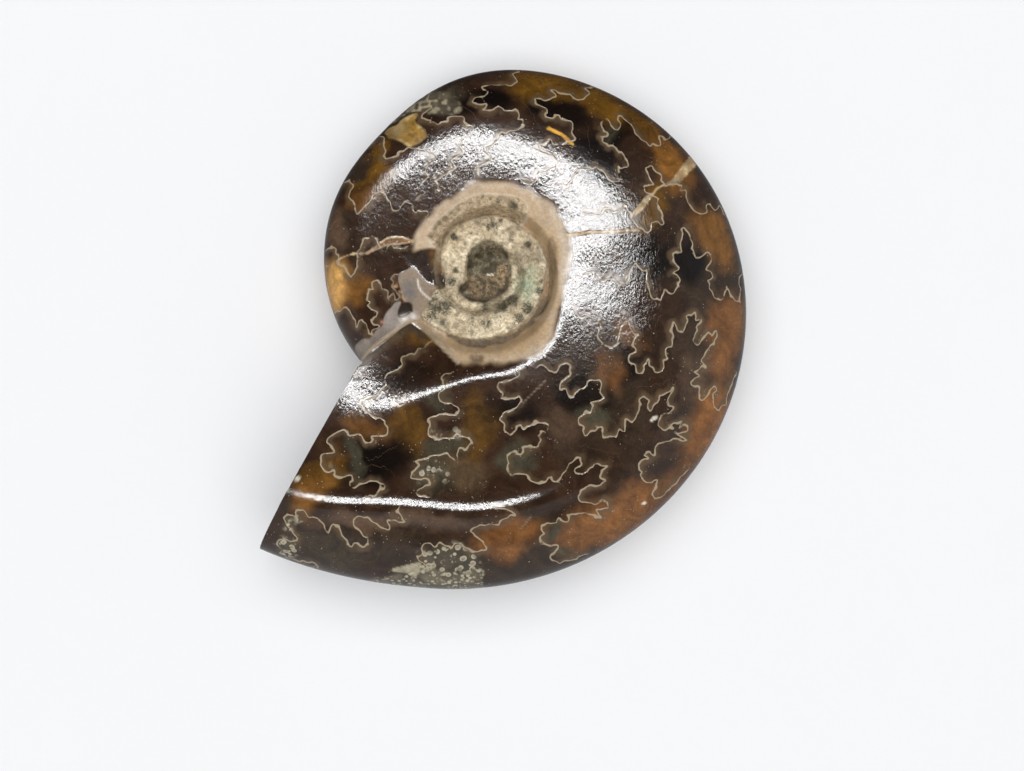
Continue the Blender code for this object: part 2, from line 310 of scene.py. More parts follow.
# ---------------------------------------------------------------------------------------------
# The sutures, where the chambers' walls met the shell. Polishing has taken the shell away, so
# each shows as a fine pale line, frilled into lobes. They are drawn in plan, in millimetres from
# the coiling axis, from the last one at the aperture back to the whorl's beginning.
# ---------------------------------------------------------------------------------------------
SUTURES = (
    (
        (-14.2, -22.9), (-13.6, -22.5), (-14.1, -22.2), (-14.9, -22.1), (-16.1, -21.7),
        (-16.3, -21.4), (-16.0, -21.2), (-16.4, -20.9), (-16.3, -20.4), (-15.0, -20.4),
        (-14.9, -20.1), (-15.5, -19.3), (-15.8, -18.8), (-15.6, -18.4), (-15.2, -18.4),
        (-14.8, -18.6), (-14.8, -18.1), (-14.4, -18.0), (-13.7, -18.6), (-13.2, -18.6),
        (-12.9, -19.0), (-12.8, -19.5), (-12.5, -19.7), (-12.2, -19.2), (-11.9, -19.1),
        (-11.6, -19.6), (-11.1, -20.3), (-10.8, -20.8), (-10.4, -20.5), (-10.1, -20.8),
        (-9.6, -20.8), (-9.4, -20.2), (-10.0, -19.8), (-10.5, -18.9), (-10.4, -18.5),
        (-10.1, -18.4), (-9.4, -18.5), (-9.0, -18.9), (-8.1, -19.4), (-7.8, -19.3),
        (-7.9, -18.8), (-7.3, -18.9), (-6.6, -18.8), (-7.2, -18.3), (-7.2, -17.9),
    ),
    (
        (-9.3, -16.9), (-8.5, -16.5), (-8.3, -16.2), (-8.9, -15.8), (-9.5, -15.9),
        (-10.4, -16.3), (-10.7, -16.1), (-10.6, -15.6), (-10.9, -15.4), (-11.6, -15.6),
        (-11.9, -15.4), (-12.0, -15.1), (-12.5, -15.1), (-12.8, -14.8), (-13.0, -14.1),
        (-12.8, -13.8), (-11.9, -13.6), (-12.4, -13.0), (-12.4, -12.7), (-12.0, -12.2),
        (-11.3, -12.0), (-10.8, -12.3), (-10.2, -12.3), (-9.4, -12.9), (-9.1, -12.8),
        (-9.0, -12.4), (-8.2, -12.3), (-7.9, -11.9), (-8.3, -11.3), (-9.1, -10.9),
        (-10.0, -10.1), (-9.4, -9.5), (-8.7, -9.2), (-8.2, -8.5), (-8.2, -8.0),
        (-7.9, -7.6), (-7.1, -7.2), (-6.9, -6.5), (-6.5, -6.3), (-6.0, -6.2),
        (-5.8, -5.8), (-5.2, -5.6), (-4.8, -5.2),
    ),
    (
        (-5.0, -22.4), (-5.6, -21.9), (-5.7, -21.5), (-5.3, -21.2), (-5.3, -20.8),
        (-4.9, -20.5), (-4.3, -20.8), (-4.0, -20.5), (-3.3, -20.9), (-2.9, -20.6),
        (-2.4, -20.6), (-1.7, -21.2), (-1.3, -21.3), (-1.0, -21.0), (-0.6, -21.0),
        (-0.5, -20.7), (-1.2, -20.1), (-1.6, -19.6), (-1.4, -19.3), (-1.0, -19.2),
        (0.4, -19.1), (0.6, -18.8), (1.1, -18.6), (1.6, -18.3), (0.9, -18.0), (0.2, -17.8),
    ),
    (
        (-5.0, -17.0), (-5.8, -16.7), (-5.5, -16.4),
        (-4.7, -15.9), (-4.9, -15.7), (-5.9, -15.7), (-6.2, -15.4), (-5.7, -14.7),
        (-5.8, -14.2), (-5.2, -14.2), (-4.2, -13.9), (-3.5, -13.7), (-3.1, -14.0),
        (-2.6, -14.3), (-2.7, -13.5), (-1.9, -13.3), (-1.6, -13.0), (-2.1, -12.4),
        (-2.7, -12.3), (-3.2, -12.6), (-4.6, -12.5), (-4.9, -12.0), (-4.6, -11.6),
        (-4.9, -11.2), (-4.5, -10.9), (-3.0, -10.8), (-2.6, -10.4), (-2.9, -10.1),
        (-3.9, -9.8), (-4.0, -9.2), (-3.6, -8.7), (-3.9, -8.1), (-3.2, -7.6),
    ),
    (
        (7.3, -21.7), (6.4, -22.0), (5.2, -22.2), (4.6, -22.1), (4.5, -21.7),
        (5.0, -21.1), (4.9, -20.9), (4.1, -20.9), (3.6, -20.4), (3.7, -20.1),
        (3.9, -19.9), (3.8, -19.4), (4.1, -19.1), (4.7, -19.1), (4.8, -18.7),
        (5.1, -18.7), (5.4, -19.0), (5.7, -19.0), (5.8, -18.5), (6.2, -18.3),
        (7.4, -18.5), (8.2, -18.7), (7.9, -18.1), (8.4, -18.1), (8.8, -17.9),
        (8.5, -17.4), (7.7, -17.6), (6.8, -17.5), (6.5, -17.0), (7.2, -16.2),
        (8.1, -16.2), (8.5, -15.8), (8.2, -15.4), (8.7, -14.7), (8.2, -14.8),
        (7.9, -14.6), (7.4, -14.9), (6.9, -15.4), (6.3, -15.2), (6.7, -14.4),
        (6.5, -14.1), (5.8, -14.6), (5.2, -15.6), (4.8, -15.9), (4.4, -15.5),
        (4.0, -15.9), (3.2, -16.1), (2.6, -15.5), (1.8, -15.2), (1.3, -15.3),
        (1.1, -14.9), (1.2, -14.5), (1.0, -14.1), (1.4, -13.6), (2.2, -13.8),
        (2.3, -13.2), (3.4, -13.2), (3.5, -12.4), (4.1, -11.8), (4.0, -11.5),
        (3.2, -11.4), (2.3, -11.9), (1.9, -11.7), (1.5, -12.2), (1.0, -12.2),
        (0.9, -11.6), (0.6, -11.2), (0.8, -10.7), (1.7, -10.3), (2.1, -9.8),
        (1.9, -9.4), (1.2, -9.6), (0.6, -9.5), (0.7, -9.1), (0.4, -8.8),
        (0.5, -8.4), (1.7, -8.1), (2.1, -7.4),
    ),
    (
        (15.1, -15.3), (14.1, -16.3), (13.1, -17.3), (12.8, -17.2), (12.5, -17.3),
        (12.3, -17.0), (12.7, -15.9), (12.4, -15.8), (12.2, -16.1), (11.7, -16.1),
        (11.4, -15.7), (11.5, -15.3), (11.2, -15.0), (11.3, -14.5), (11.9, -14.2),
        (11.6, -13.9), (11.9, -13.8), (12.5, -13.9), (12.5, -13.4), (12.8, -13.1),
        (13.8, -12.8), (14.9, -12.8), (14.7, -12.6), (14.1, -12.4), (14.9, -12.1),
        (14.9, -11.7), (14.4, -11.8), (14.5, -11.4), (14.1, -11.5), (13.6, -11.9),
        (13.0, -12.0), (12.7, -11.7), (12.9, -11.0), (13.7, -10.5), (13.9, -10.1),
        (13.4, -10.0), (13.9, -8.8), (13.2, -9.3), (12.8, -9.4), (12.4, -10.2),
        (12.0, -10.5), (11.8, -10.2), (11.9, -9.8), (11.5, -9.5), (11.2, -10.0),
        (11.0, -10.9), (10.6, -11.4), (10.1, -11.2), (10.1, -12.1), (9.6, -12.0),
        (9.4, -12.5), (8.4, -12.5), (8.3, -11.7), (7.8, -11.9), (7.2, -12.3),
        (6.9, -12.0), (6.9, -11.6), (6.5, -11.4), (6.7, -10.9), (7.5, -10.4),
        (7.5, -9.9), (8.4, -9.5), (8.1, -9.1), (8.2, -8.3), (7.8, -8.1),
        (7.3, -8.2), (6.9, -8.8), (6.4, -9.1), (6.1, -9.5), (5.7, -9.4),
        (5.5, -9.0), (5.1, -8.8), (5.3, -8.3), (5.9, -7.6), (5.7, -7.0),
        (5.3, -7.0), (4.8, -7.5), (4.3, -7.5), (3.9, -7.0), (3.4, -7.1),
    ),
    (
        (19.0, -7.6), (18.6, -8.8), (18.2, -10.0), (17.9, -10.0), (17.5, -10.5),
        (17.2, -10.1), (17.1, -9.5), (17.3, -8.9), (17.1, -8.6), (16.8, -9.3),
        (16.3, -9.7), (15.9, -9.3), (15.9, -8.7), (15.5, -8.7), (15.3, -8.3),
        (15.9, -7.8), (15.6, -7.5), (16.4, -7.1), (16.1, -6.7), (16.4, -6.1),
        (17.2, -5.2), (17.3, -4.4), (16.9, -4.7), (16.8, -4.4), (16.3, -5.1),
        (15.9, -5.4), (15.5, -5.1), (15.7, -4.4), (16.1, -3.6), (15.7, -3.6),
        (15.5, -3.0), (15.1, -3.2), (14.8, -4.1), (14.5, -4.5), (14.2, -4.2),
        (13.9, -3.8), (13.7, -4.2), (13.8, -5.4), (13.3, -5.8), (13.5, -6.6),
        (13.1, -6.8), (13.1, -7.4), (12.4, -7.7), (12.2, -7.4), (12.0, -6.7),
        (11.8, -6.8), (11.3, -7.7), (11.0, -7.6), (10.8, -7.1), (10.4, -6.9),
        (10.5, -6.3), (11.0, -5.9), (10.7, -5.4), (11.0, -4.7), (10.6, -4.3),
        (10.5, -3.7), (10.1, -3.8), (9.8, -4.4), (9.6, -5.1), (9.1, -5.7),
        (8.4, -5.4), (8.1, -4.8), (8.1, -3.8), (7.5, -3.2), (6.7, -3.4), (6.2, -2.8),
    ),
    (
        (19.8, 0.4), (19.4, -0.2), (19.5, -1.8), (19.0, -2.0), (18.6, -1.5),
        (18.3, -0.9), (18.1, -1.6), (17.7, -1.9), (17.0, -1.3), (16.9, -0.7),
        (16.7, -0.4), (17.1, 0.0), (16.7, 0.5), (17.0, 1.2), (16.8, 1.9),
        (16.4, 1.7), (16.0, 1.3), (15.7, 1.6), (15.4, 2.9), (14.9, 3.7),
        (14.6, 2.9), (14.6, 1.8), (14.0, 1.7), (14.0, 1.2), (14.4, 0.5),
        (14.0, 0.1), (14.6, -0.4), (14.2, -0.9), (13.8, -1.5), (13.2, -1.1),
        (13.0, -1.8), (12.8, -2.1), (12.2, -1.7), (12.0, -0.8), (11.8, -0.4),
        (11.9, 0.3), (11.4, 0.3), (11.0, 0.8), (10.6, 0.2), (10.4, -0.5),
        (9.8, -0.9), (9.1, -0.3), (8.3, -0.6), (7.8, 0.1), (7.0, -0.1),
    ),
    (
        (18.3, 5.0), (17.9, 5.7), (17.5, 5.3), (17.2, 5.5), (16.9, 5.8),
        (16.6, 4.9), (16.2, 4.9), (15.7, 5.1), (15.2, 6.0), (15.1, 6.6),
        (14.6, 6.7), (14.7, 7.2), (14.0, 7.1), (13.4, 7.2), (12.9, 8.0),
        (12.2, 8.5), (12.0, 8.2), (12.4, 7.1), (11.8, 7.0), (11.8, 6.6),
        (12.7, 6.1), (12.7, 5.6), (13.2, 4.4), (13.1, 4.0), (12.4, 4.0),
        (12.2, 3.4), (11.6, 3.4), (11.0, 4.0), (10.6, 4.7), (10.3, 5.3),
        (9.4, 4.8), (8.9, 5.2), (8.2, 4.7), (7.2, 4.8),
    ),
    (
        (14.5, 11.2), (14.0, 11.3), (13.7, 11.0), (13.0, 11.3), (13.1, 10.6),
        (12.9, 10.3), (12.5, 10.5), (12.2, 10.3), (11.6, 10.9), (11.3, 11.3),
        (10.5, 12.3), (9.9, 12.6), (10.0, 11.7), (9.6, 11.5), (8.9, 12.3),
        (8.4, 12.1), (8.4, 11.6), (8.9, 11.2), (8.8, 10.9), (8.4, 10.8),
        (8.7, 10.4), (9.4, 10.0), (10.0, 9.5), (10.4, 8.8), (10.2, 8.3),
        (9.7, 8.3), (10.0, 7.6), (9.6, 7.3), (9.1, 7.3), (8.6, 7.8),
        (8.0, 8.4), (7.5, 8.2), (6.9, 8.3), (6.2, 7.7), (5.9, 6.9), (5.2, 6.9),
    ),
    (
        (8.3, 15.4), (7.4, 15.0), (7.6, 14.6), (7.1, 14.0), (6.4, 14.1),
        (6.0, 14.4), (5.5, 14.4), (4.9, 14.7), (4.6, 14.6), (4.9, 14.1),
        (4.2, 13.9), (3.6, 14.0), (3.2, 13.8), (4.2, 13.0), (4.0, 12.7),
        (4.4, 12.4), (5.0, 12.6), (5.2, 12.2), (6.0, 12.1), (6.3, 11.6),
        (6.1, 11.2), (6.4, 10.6), (5.5, 10.3), (4.8, 10.2), (4.4, 10.6),
        (4.1, 10.2), (3.5, 10.1), (3.9, 9.6), (5.0, 9.1), (4.5, 8.2), (3.6, 8.0),
        (3.0, 7.2), (2.2, 7.3),
    ),
    (
        (1.5, 17.1), (1.9, 16.6), (1.6, 16.1), (1.8, 15.5), (1.2, 15.1),
        (-0.2, 15.1), (-0.9, 14.9), (-0.4, 14.4), (-0.7, 14.1), (-1.3, 14.1),
        (-1.6, 13.7), (-1.2, 13.5), (-0.6, 13.4), (-0.8, 13.0), (-0.2, 12.9),
        (0.4, 13.3), (0.8, 13.0), (1.8, 12.9), (2.0, 12.6), (1.8, 12.2),
        (2.4, 12.1), (2.2, 11.6), (1.5, 11.2), (0.5, 11.1), (0.3, 10.5),
        (-0.5, 9.8), (-0.2, 9.1), (-1.1, 8.5), (-1.0, 7.8),
    ),
    (
        (-5.4, 15.4), (-5.1, 14.6), (-5.3, 13.9), (-4.8, 13.3), (-5.4, 12.8),
        (-5.7, 12.4), (-5.0, 12.3), (-4.9, 12.0), (-3.7, 12.0), (-3.4, 12.4),
        (-2.5, 12.4), (-2.2, 11.9), (-1.7, 11.7), (-1.8, 11.2), (-2.6, 10.4),
        (-2.3, 9.6), (-3.2, 9.0), (-3.0, 8.3), (-3.9, 7.7), (-4.5, 7.4), (-4.2, 6.6),
    ),
    (
        (-10.3, 10.3), (-9.6, 10.8), (-9.1, 11.2), (-8.7, 11.0), (-8.7, 10.4),
        (-8.5, 10.0), (-8.7, 9.4), (-8.4, 9.1), (-7.8, 9.3), (-6.8, 9.9),
        (-5.9, 10.0), (-5.2, 9.7), (-4.6, 9.1), (-5.3, 8.4), (-5.0, 7.6), (-5.8, 7.0),
        (-5.3, 6.4), (-6.0, 6.0),
    ),
    (
        (-12.6, 7.0), (-11.9, 7.5), (-11.4, 7.6), (-11.1, 7.0), (-11.3, 5.9),
        (-11.0, 5.6), (-10.8, 4.7), (-10.5, 5.0), (-9.9, 5.3), (-9.6, 6.0),
        (-8.9, 6.5), (-8.2, 5.9), (-7.8, 5.1), (-7.3, 5.3), (-6.8, 5.8),
        (-6.4, 5.5), (-6.1, 4.9), (-5.6, 5.1), (-5.1, 5.0), (-5.3, 4.3),
    ),
    (
        (-13.6, 1.6), (-13.2, 2.1), (-12.6, 2.2), (-12.2, 1.7), (-12.1, 0.9),
        (-11.6, 0.7), (-11.4, 0.2), (-11.1, -0.2), (-10.9, 0.1), (-10.6, 1.0),
        (-10.5, 2.0), (-10.0, 2.8), (-9.3, 3.0), (-8.9, 2.3), (-8.3, 1.9),
        (-8.0, 2.4), (-7.5, 2.2), (-6.6, 2.3), (-6.2, 2.6),
    ),
    (
        (-12.6, -3.4), (-12.6, -3.0), (-12.0, -2.6), (-11.7, -2.4), (-11.3, -2.7),
        (-10.9, -3.5), (-10.7, -4.1), (-10.4, -3.6), (-10.1, -3.5), (-9.8, -3.9),
        (-9.6, -4.7), (-9.2, -4.3), (-9.0, -4.0), (-9.4, -3.5), (-9.0, -3.1),
        (-9.7, -2.5), (-9.6, -2.1), (-9.9, -1.8), (-9.8, -1.1), (-9.4, -1.1),
        (-9.4, -0.6), (-8.9, -0.4), (-8.6, -1.0), (-8.3, -1.1), (-8.2, -1.8),
        (-7.9, -1.3), (-7.6, -1.9), (-7.3, -1.6), (-7.8, -0.8), (-7.9, -0.3),
        (-7.6, 0.1), (-7.1, 0.1),
    ),
)
SUTURE_REACH = 1.2  # how far from a suture its colour is felt
FRILL, FRILL_SIZE = 0.15, 0.38  # the finest crinkles
CURVE_STEPS = 4  # points of a smooth curve from one drawn corner to the next
RUNS_AT_ONCE = 12  # how many of a curve's runs are measured together
OUTLINE_REACH = 3.0  # how far from an outline the distance to it is measured
CLOUD_LATTICE = 97  # random values along each side of a cloud's lattice


def rounded(corners, closed=False):
    """A smooth curve through drawn corners."""
    corners = np.array(corners, float)
    if closed:
        before, after = np.roll(corners, 1, axis=0), np.roll(corners, -1, axis=0)
        ends = np.roll(corners, -2, axis=0)
        starts = corners
    else:
        before = np.concatenate([corners[:1], corners[:-2]])
        starts, after = corners[:-1], corners[1:]
        ends = np.concatenate([corners[2:], corners[-1:]])
    share = (np.arange(CURVE_STEPS) / CURVE_STEPS)[None, :, None]
    before, starts, after, ends = (p[:, None, :] for p in (before, starts, after, ends))
    curve = 0.5 * (
        2 * starts
        + (after - before) * share
        + (2 * before - 5 * starts + 4 * after - ends) * share**2
        + (3 * starts - before - 3 * after + ends) * share**3
    )
    curve = curve.reshape(-1, 2)
    return np.concatenate([curve, corners[:1] if closed else corners[-1:]])


def measure_line(curve, reach, distance, side, at):
    """Lowers distance to the curve's where that is less, and notes the side of it."""
    for k in range(0, len(curve) - 1, RUNS_AT_ONCE):
        part = curve[k : k + RUNS_AT_ONCE + 1]
        low, high = part.min(axis=0) - reach, part.max(axis=0) + reach
        near = np.flatnonzero(((at > low) & (at < high)).all(axis=1))
        if not len(near):
            continue
        starts, runs = part[:-1], np.diff(part, axis=0)
        offset = at[near][:, None, :] - starts
        squares = (runs**2).sum(axis=1)
        share = np.clip((offset * runs).sum(axis=2) / np.maximum(squares, 1e-12), 0, 1)
        away = offset - share[..., None] * runs
        length = np.hypot(away[..., 0], away[..., 1])
        best = length.argmin(axis=1)
        pick = np.arange(len(near)), best
        crossed = runs[best, 0] * offset[pick][:, 1] - runs[best, 1] * offset[pick][:, 0]
        better = length[pick] < distance[near]
        distance[near[better]] = length[pick][better]
        side[near[better]] = np.sign(crossed[better])


def line_field(lines, reach, at=plan):
    """Distance from every point of the shell to the nearest of some lines, and its side of it."""
    distance, side = np.full(len(at), float(reach)), np.ones(len(at))
    for line in lines:
        measure_line(rounded(line), reach, distance, side, at)
    return distance, side


def inside_field(outline, reach=OUTLINE_REACH, at=plan):
    """Signed distance in plan to a closed outline, positive inside it."""
    curve = rounded(outline, closed=True)
    distance, side = np.full(len(at), float(reach)), np.ones(len(at))
    measure_line(curve, reach, distance, side, at)
    x, y = at.T
    inside = np.zeros(len(at), bool)
    for (x0, y0), (x1, y1) in zip(curve[:-1], curve[1:]):
        if y0 != y1:
            inside ^= ((y0 > y) != (y1 > y)) & (x < (x1 - x0) * (y - y0) / (y1 - y0) + x0)
    return np.where(inside, distance, -distance)


def patch(outline, softness, at=plan):
    """1 inside an outline and 0 outside it, over a soft edge."""
    return smooth_step(inside_field(outline, at=at) / softness + 0.5)


def blobs(places):
    """The strongest of some soft round patches: x, y, radius and strength."""
    mask = np.zeros(len(plan))
    for x, y, radius, strength in places:
        away = np.hypot(plan[:, 0] - x, plan[:, 1] - y) / radius
        mask = np.maximum(mask, strength * np.exp(-(away**2)))
    return mask


def cloud(size, seed, at=plan):
    """A smooth random field over the plan, from -1 to 1, with features of this size in mm."""
    lattice = np.random.default_rng(seed).uniform(-1, 1, (CLOUD_LATTICE, CLOUD_LATTICE))
    place = at / size + CLOUD_LATTICE / 2
    corner = np.floor(place).astype(int)
    share = smooth_step(place - corner)
    i, j = (corner % CLOUD_LATTICE).T
    i_next, j_next = (i + 1) % CLOUD_LATTICE, (j + 1) % CLOUD_LATTICE
    across, up = share.T
    low = lattice[i, j] * (1 - across) + lattice[i_next, j] * across
    high = lattice[i, j_next] * (1 - across) + lattice[i_next, j_next] * across
    return low * (1 - up) + high * up


def strayed(reach, size, seed):
    """The plan with every point strayed by up to this reach, in waves of this size."""
    return plan + reach * np.stack([cloud(size, seed), cloud(size, seed + 1)], axis=1)


suture_distance, suture_side = line_field(SUTURES, SUTURE_REACH, strayed(FRILL, FRILL_SIZE, 1))

# ---------------------------------------------------------------------------------------------
# The stone's colour. Calcite filled the chambers: honey and amber where it is clear, brown to
# black where iron stained it, grey-green where mud came in first. It is painted patch by patch
# over the plan, later patches over earlier ones, with edges that wander as the filling did.
# ---------------------------------------------------------------------------------------------
BROWN = (0.043, 0.020, 0.010)
SMOKE = (0.046, 0.029, 0.018)  # hazy brown
BLACK = (0.005, 0.0025, 0.0015)
GOLD = (0.165, 0.078, 0.008)
AMBER = (0.275, 0.120, 0.024)
ORANGE = (0.275, 0.112, 0.030)
HONEY = (0.800, 0.450, 0.140)
OLIVE = (0.070, 0.063, 0.040)
TAN = (0.165, 0.110, 0.058)
# A paler brown: the stone's own brown with a painted reflection of the pale room in it.
REFLECTED_HAZE = (0.140, 0.084, 0.052)
FILLINGS = (  # x, y, half length, half width, its turn in degrees, colour, strength
    (14, -9, 8, 14, 0, SMOKE, 0.9), (0, -21, 16, 3.4, -4, SMOKE, 1.0),
    (-3, -15, 13, 4, -6, BROWN, 0.6), (-9, 3, 4.5, 5.5, 0, BROWN, 1.0),
    (4, 15.6, 2.6, 1.5, -5, GOLD, 1.0), (9, 14.0, 2.8, 1.4, -35, GOLD, 0.9),
    (12, 11.8, 1.6, 1.1, -45, GOLD, 0.7), (13.7, 9.4, 2.4, 1.6, -55, AMBER, 1.0),
    (12.6, 5.2, 1.8, 1.5, 60, GOLD, 0.9), (17.3, 3.0, 2.4, 1.5, 95, AMBER, 0.75),
    (18.1, -5.2, 3.0, 1.6, 85, ORANGE, 0.8), (16.8, -12.0, 3.2, 1.7, 60, ORANGE, 0.95),
    (13.5, -17.0, 2.6, 1.5, 45, ORANGE, 0.5), (8.6, -19.4, 3.6, 1.9, 25, ORANGE, 0.85),
    (10.5, -17.6, 2.2, 1.4, 30, ORANGE, 0.7), (1.2, -20.3, 2.4, 1.4, 10, ORANGE, 0.8),
    (6.0, -13.0, 2.0, 2.4, 0, SMOKE, 0.6), (12.0, -3.2, 2.2, 2.4, 40, BROWN, 0.8),
    (-2.0, -14.9, 1.9, 1.3, 0, TAN, 0.55),
    (-11.0, -1.2, 1.8, 1.3, 0, AMBER, 0.9), (-12.9, -1.3, 1.3, 1.9, 10, HONEY, 0.9),
    (-12.2, 3.6, 1.6, 1.8, 0, SMOKE, 1.0), (-9.8, 8.8, 2.4, 0.8, 70, GOLD, 1.0),
    (-10.9, 7.9, 1.5, 0.7, 60, SMOKE, 1.0), (-6.5, -11.5, 1.2, 2.4, 10, GOLD, 0.75),
    (-1.0, -11.5, 1.2, 2.2, 0, GOLD, 0.7), (-12.9, -15.6, 2.2, 1.3, 60, GOLD, 0.8),
    (-13.7, -17.0, 1.6, 1.0, 60, AMBER, 0.6), (-9.6, -11.6, 1.5, 1.2, 0, AMBER, 0.55),
    (-6.1, -4.9, 2.0, 0.9, 10, GOLD, 1.0), (-7.5, -6.5, 2.6, 1.2, 30, BROWN, 0.8),
    (15.0, 0.8, 1.1, 2.0, 0, BLACK, 1.0), (12.6, 1.6, 1.8, 2.2, 20, BLACK, 0.95),
    (14.2, 3.6, 1.2, 1.4, 0, BROWN, 0.8), (5.0, 13.4, 2.4, 1.2, -20, BLACK, 0.95),
    (8.4, 9.6, 2.6, 2.0, -40, BLACK, 0.95), (11.4, 9.0, 1.8, 1.2, -45, BROWN, 0.8),
    (9.6, 12.0, 1.1, 0.8, 60, BLACK, 0.8), (0.2, 14.4, 1.7, 0.8, 0, BLACK, 1.0),
    (-2.5, 13.6, 2.0, 0.9, 20, BLACK, 0.9), (-4.4, 14.0, 2.0, 0.9, 25, OLIVE, 0.7),
    (-9.0, -14.0, 2.4, 1.9, 0, BLACK, 0.95), (7.0, -9.4, 2.2, 1.6, -30, BLACK, 0.85),
    (10.2, -6.6, 1.0, 2.2, -30, BLACK, 0.7), (1.6, -11.0, 2.2, 1.6, -20, BLACK, 0.8),
    (-6.5, -8.0, 2.6, 1.0, 20, BLACK, 0.6), (12.5, -14.6, 2.0, 1.5, 50, BROWN, 0.7),
    (13.6, -8.6, 2.0, 2.4, 20, BROWN, 0.7), (-3.5, -19.2, 2.2, 0.8, 0, BROWN, 0.6),
    (1.8, -14.3, 1.0, 1.1, 0, OLIVE, 0.95), (7.5, -11.3, 0.9, 1.0, 30, OLIVE, 0.95),
    (4.4, -19.9, 0.8, 0.9, 0, OLIVE, 0.9), (5.6, -21.7, 1.0, 0.4, 0, OLIVE, 0.8),
    (-3.8, -9.3, 0.9, 0.8, 0, OLIVE, 0.7), (8.8, 11.9, 0.5, 0.7, 0, OLIVE, 0.6),
    (-10.6, -14.0, 0.7, 1.7, 5, OLIVE, 0.8), (-12.6, -20.9, 2.8, 1.2, -15, OLIVE, 0.35),
    (-4.5, -15.0, 1.8, 1.6, 0, OLIVE, 0.6), (-3.4, -12.9, 1.9, 0.7, 0, OLIVE, 0.8),
    # The hazy patches in the next lines are painted reflection over the stone's brown.
    (-12.4, 3.3, 1.0, 1.9, 0, REFLECTED_HAZE, 0.9), (-7.0, -18.7, 6.0, 0.7, 0, REFLECTED_HAZE, 0.7),
    (-10.4, 0.2, 1.3, 1.0, 30, REFLECTED_HAZE, 0.5), (15.6, -8.2, 1.1, 2.0, -20, REFLECTED_HAZE, 0.6),
    (5.2, -12.2, 1.2, 1.6, 30, REFLECTED_HAZE, 0.5), (10.6, -4.6, 1.0, 1.6, 20, ORANGE, 0.35),
    (8.8, -7.6, 0.8, 1.8, 35, ORANGE, 0.5), (-9.8, 5.8, 1.4, 0.7, 30, AMBER, 0.5),
    (-8.8, 7.4, 1.4, 1.0, 40, GOLD, 0.6),
)
FILLING_EDGE = 0.95  # how far its edge is soft, as a share of its size
WANDER = ((2.6, 0.8), (0.9, 0.30), (0.35, 0.10))  # size and reach of the wandering, mm


wandering = plan.copy()
for k, (size, reach) in enumerate(WANDER):
    wandering += reach * np.stack([cloud(size, 10 + k), cloud(size, 20 + k)], axis=1)
tint = np.tile(np.array(BROWN), (len(plan), 1))


def paint(colour, mask):
    """Lays a colour over the stone where a mask says."""
    tint[:] += (np.array(colour) - tint) * np.clip(mask, 0, 1)[:, None]


for x, y, half_length, half_width, turn, colour, strength in FILLINGS:
    turn = math.radians(turn)
    offset = wandering - (x, y)
    along_it = (offset[:, 0] * math.cos(turn) + offset[:, 1] * math.sin(turn)) / half_length
    across_it = (offset[:, 1] * math.cos(turn) - offset[:, 0] * math.sin(turn)) / half_width
    edge = np.hypot(along_it, across_it)
    paint(colour, strength * (1 - smooth_step((edge - 1) / FILLING_EDGE + 0.5)))

# ---------------------------------------------------------------------------------------------
# The umbilicus, which the wheel doesn't reach. The inner whorls' shell is left there, chalky and
# mottled with mud, in a dark core, a pale ring, a groove with painted shade on its lower side and
# a smooth cream wall. The wall has broken away at the left, down to the brown calcite under it.
# ---------------------------------------------------------------------------------------------
WALL = (
    (5.6, 0.0), (5.9, 1.5), (5.7, 3.0), (5.1, 4.3), (4.7, 5.3), (3.5, 6.1), (2.5, 6.7), (1.2, 7.1),
    (-0.2, 7.2), (-1.2, 7.3), (-2.1, 6.9), (-2.9, 6.2), (-4.2, 5.4), (-4.9, 4.6), (-5.8, 3.7),
    (-6.2, 2.9), (-6.2, 2.0), (-5.7, 1.7), (-4.9, 2.0), (-4.6, 1.5), (-4.3, 0.6), (-3.9, -0.1),
    (-3.7, -0.9), (-4.9, -1.4), (-5.8, -3.2), (-6.2, -3.5), (-5.3, -4.2), (-4.4, -5.0),
    (-3.4, -5.9), (-2.6, -6.8), (-1.5, -6.9), (0.5, -6.9), (2.2, -6.6), (3.3, -6.2), (4.1, -5.5),
    (4.6, -4.7), (4.9, -3.4), (5.2, -1.8),
)
TERRACE = (
    (-5.0, 3.1), (-4.6, 3.9), (-3.8, 4.6), (-3.0, 5.3), (-2.0, 5.9), (-0.9, 6.2), (0.8, 6.15),
    (2.2, 5.8), (2.6, 5.0), (2.2, 4.2), (0.0, 3.0), (-3.0, 2.4), (-4.4, 2.2),
)
RING = (
    (4.15, 1.0), (4.0, -0.1), (3.95, -0.8), (3.6, -1.8), (3.1, -2.8), (2.2, -3.8), (1.2, -4.5),
    (0.0, -4.8), (-1.2, -5.0), (-2.5, -4.9), (-3.6, -4.5), (-4.8, -3.9), (-5.6, -3.2),
    (-5.3, -2.6), (-4.9, -1.9), (-4.9, -1.2), (-4.0, -1.0), (-3.8, -0.4), (-3.9, 0.4),
    (-4.2, 1.2), (-4.1, 2.1), (-3.8, 3.0), (-3.1, 3.9), (-2.0, 4.5), (-0.8, 4.8), (0.4, 4.8),
    (1.6, 4.3), (2.6, 3.5), (3.3, 2.9), (3.9, 2.0),
)
GROOVE = (
    (4.8, 2.3), (4.9, 1.2), (4.85, 0.0), (4.6, -1.4), (4.2, -2.4), (3.4, -3.4), (2.5, -4.3),
    (1.2, -5.1), (0.0, -5.5), (-1.5, -5.7), (-2.4, -5.5), (-3.4, -4.9), (-3.6, -4.6),
    (-2.5, -5.0), (-1.2, -5.1), (0.0, -4.9), (1.3, -4.6), (2.3, -3.9), (3.2, -2.9), (3.7, -1.8),
    (4.1, -0.8), (4.2, 0.2), (4.3, 1.2), (4.2, 2.4), (4.5, 2.9),
)
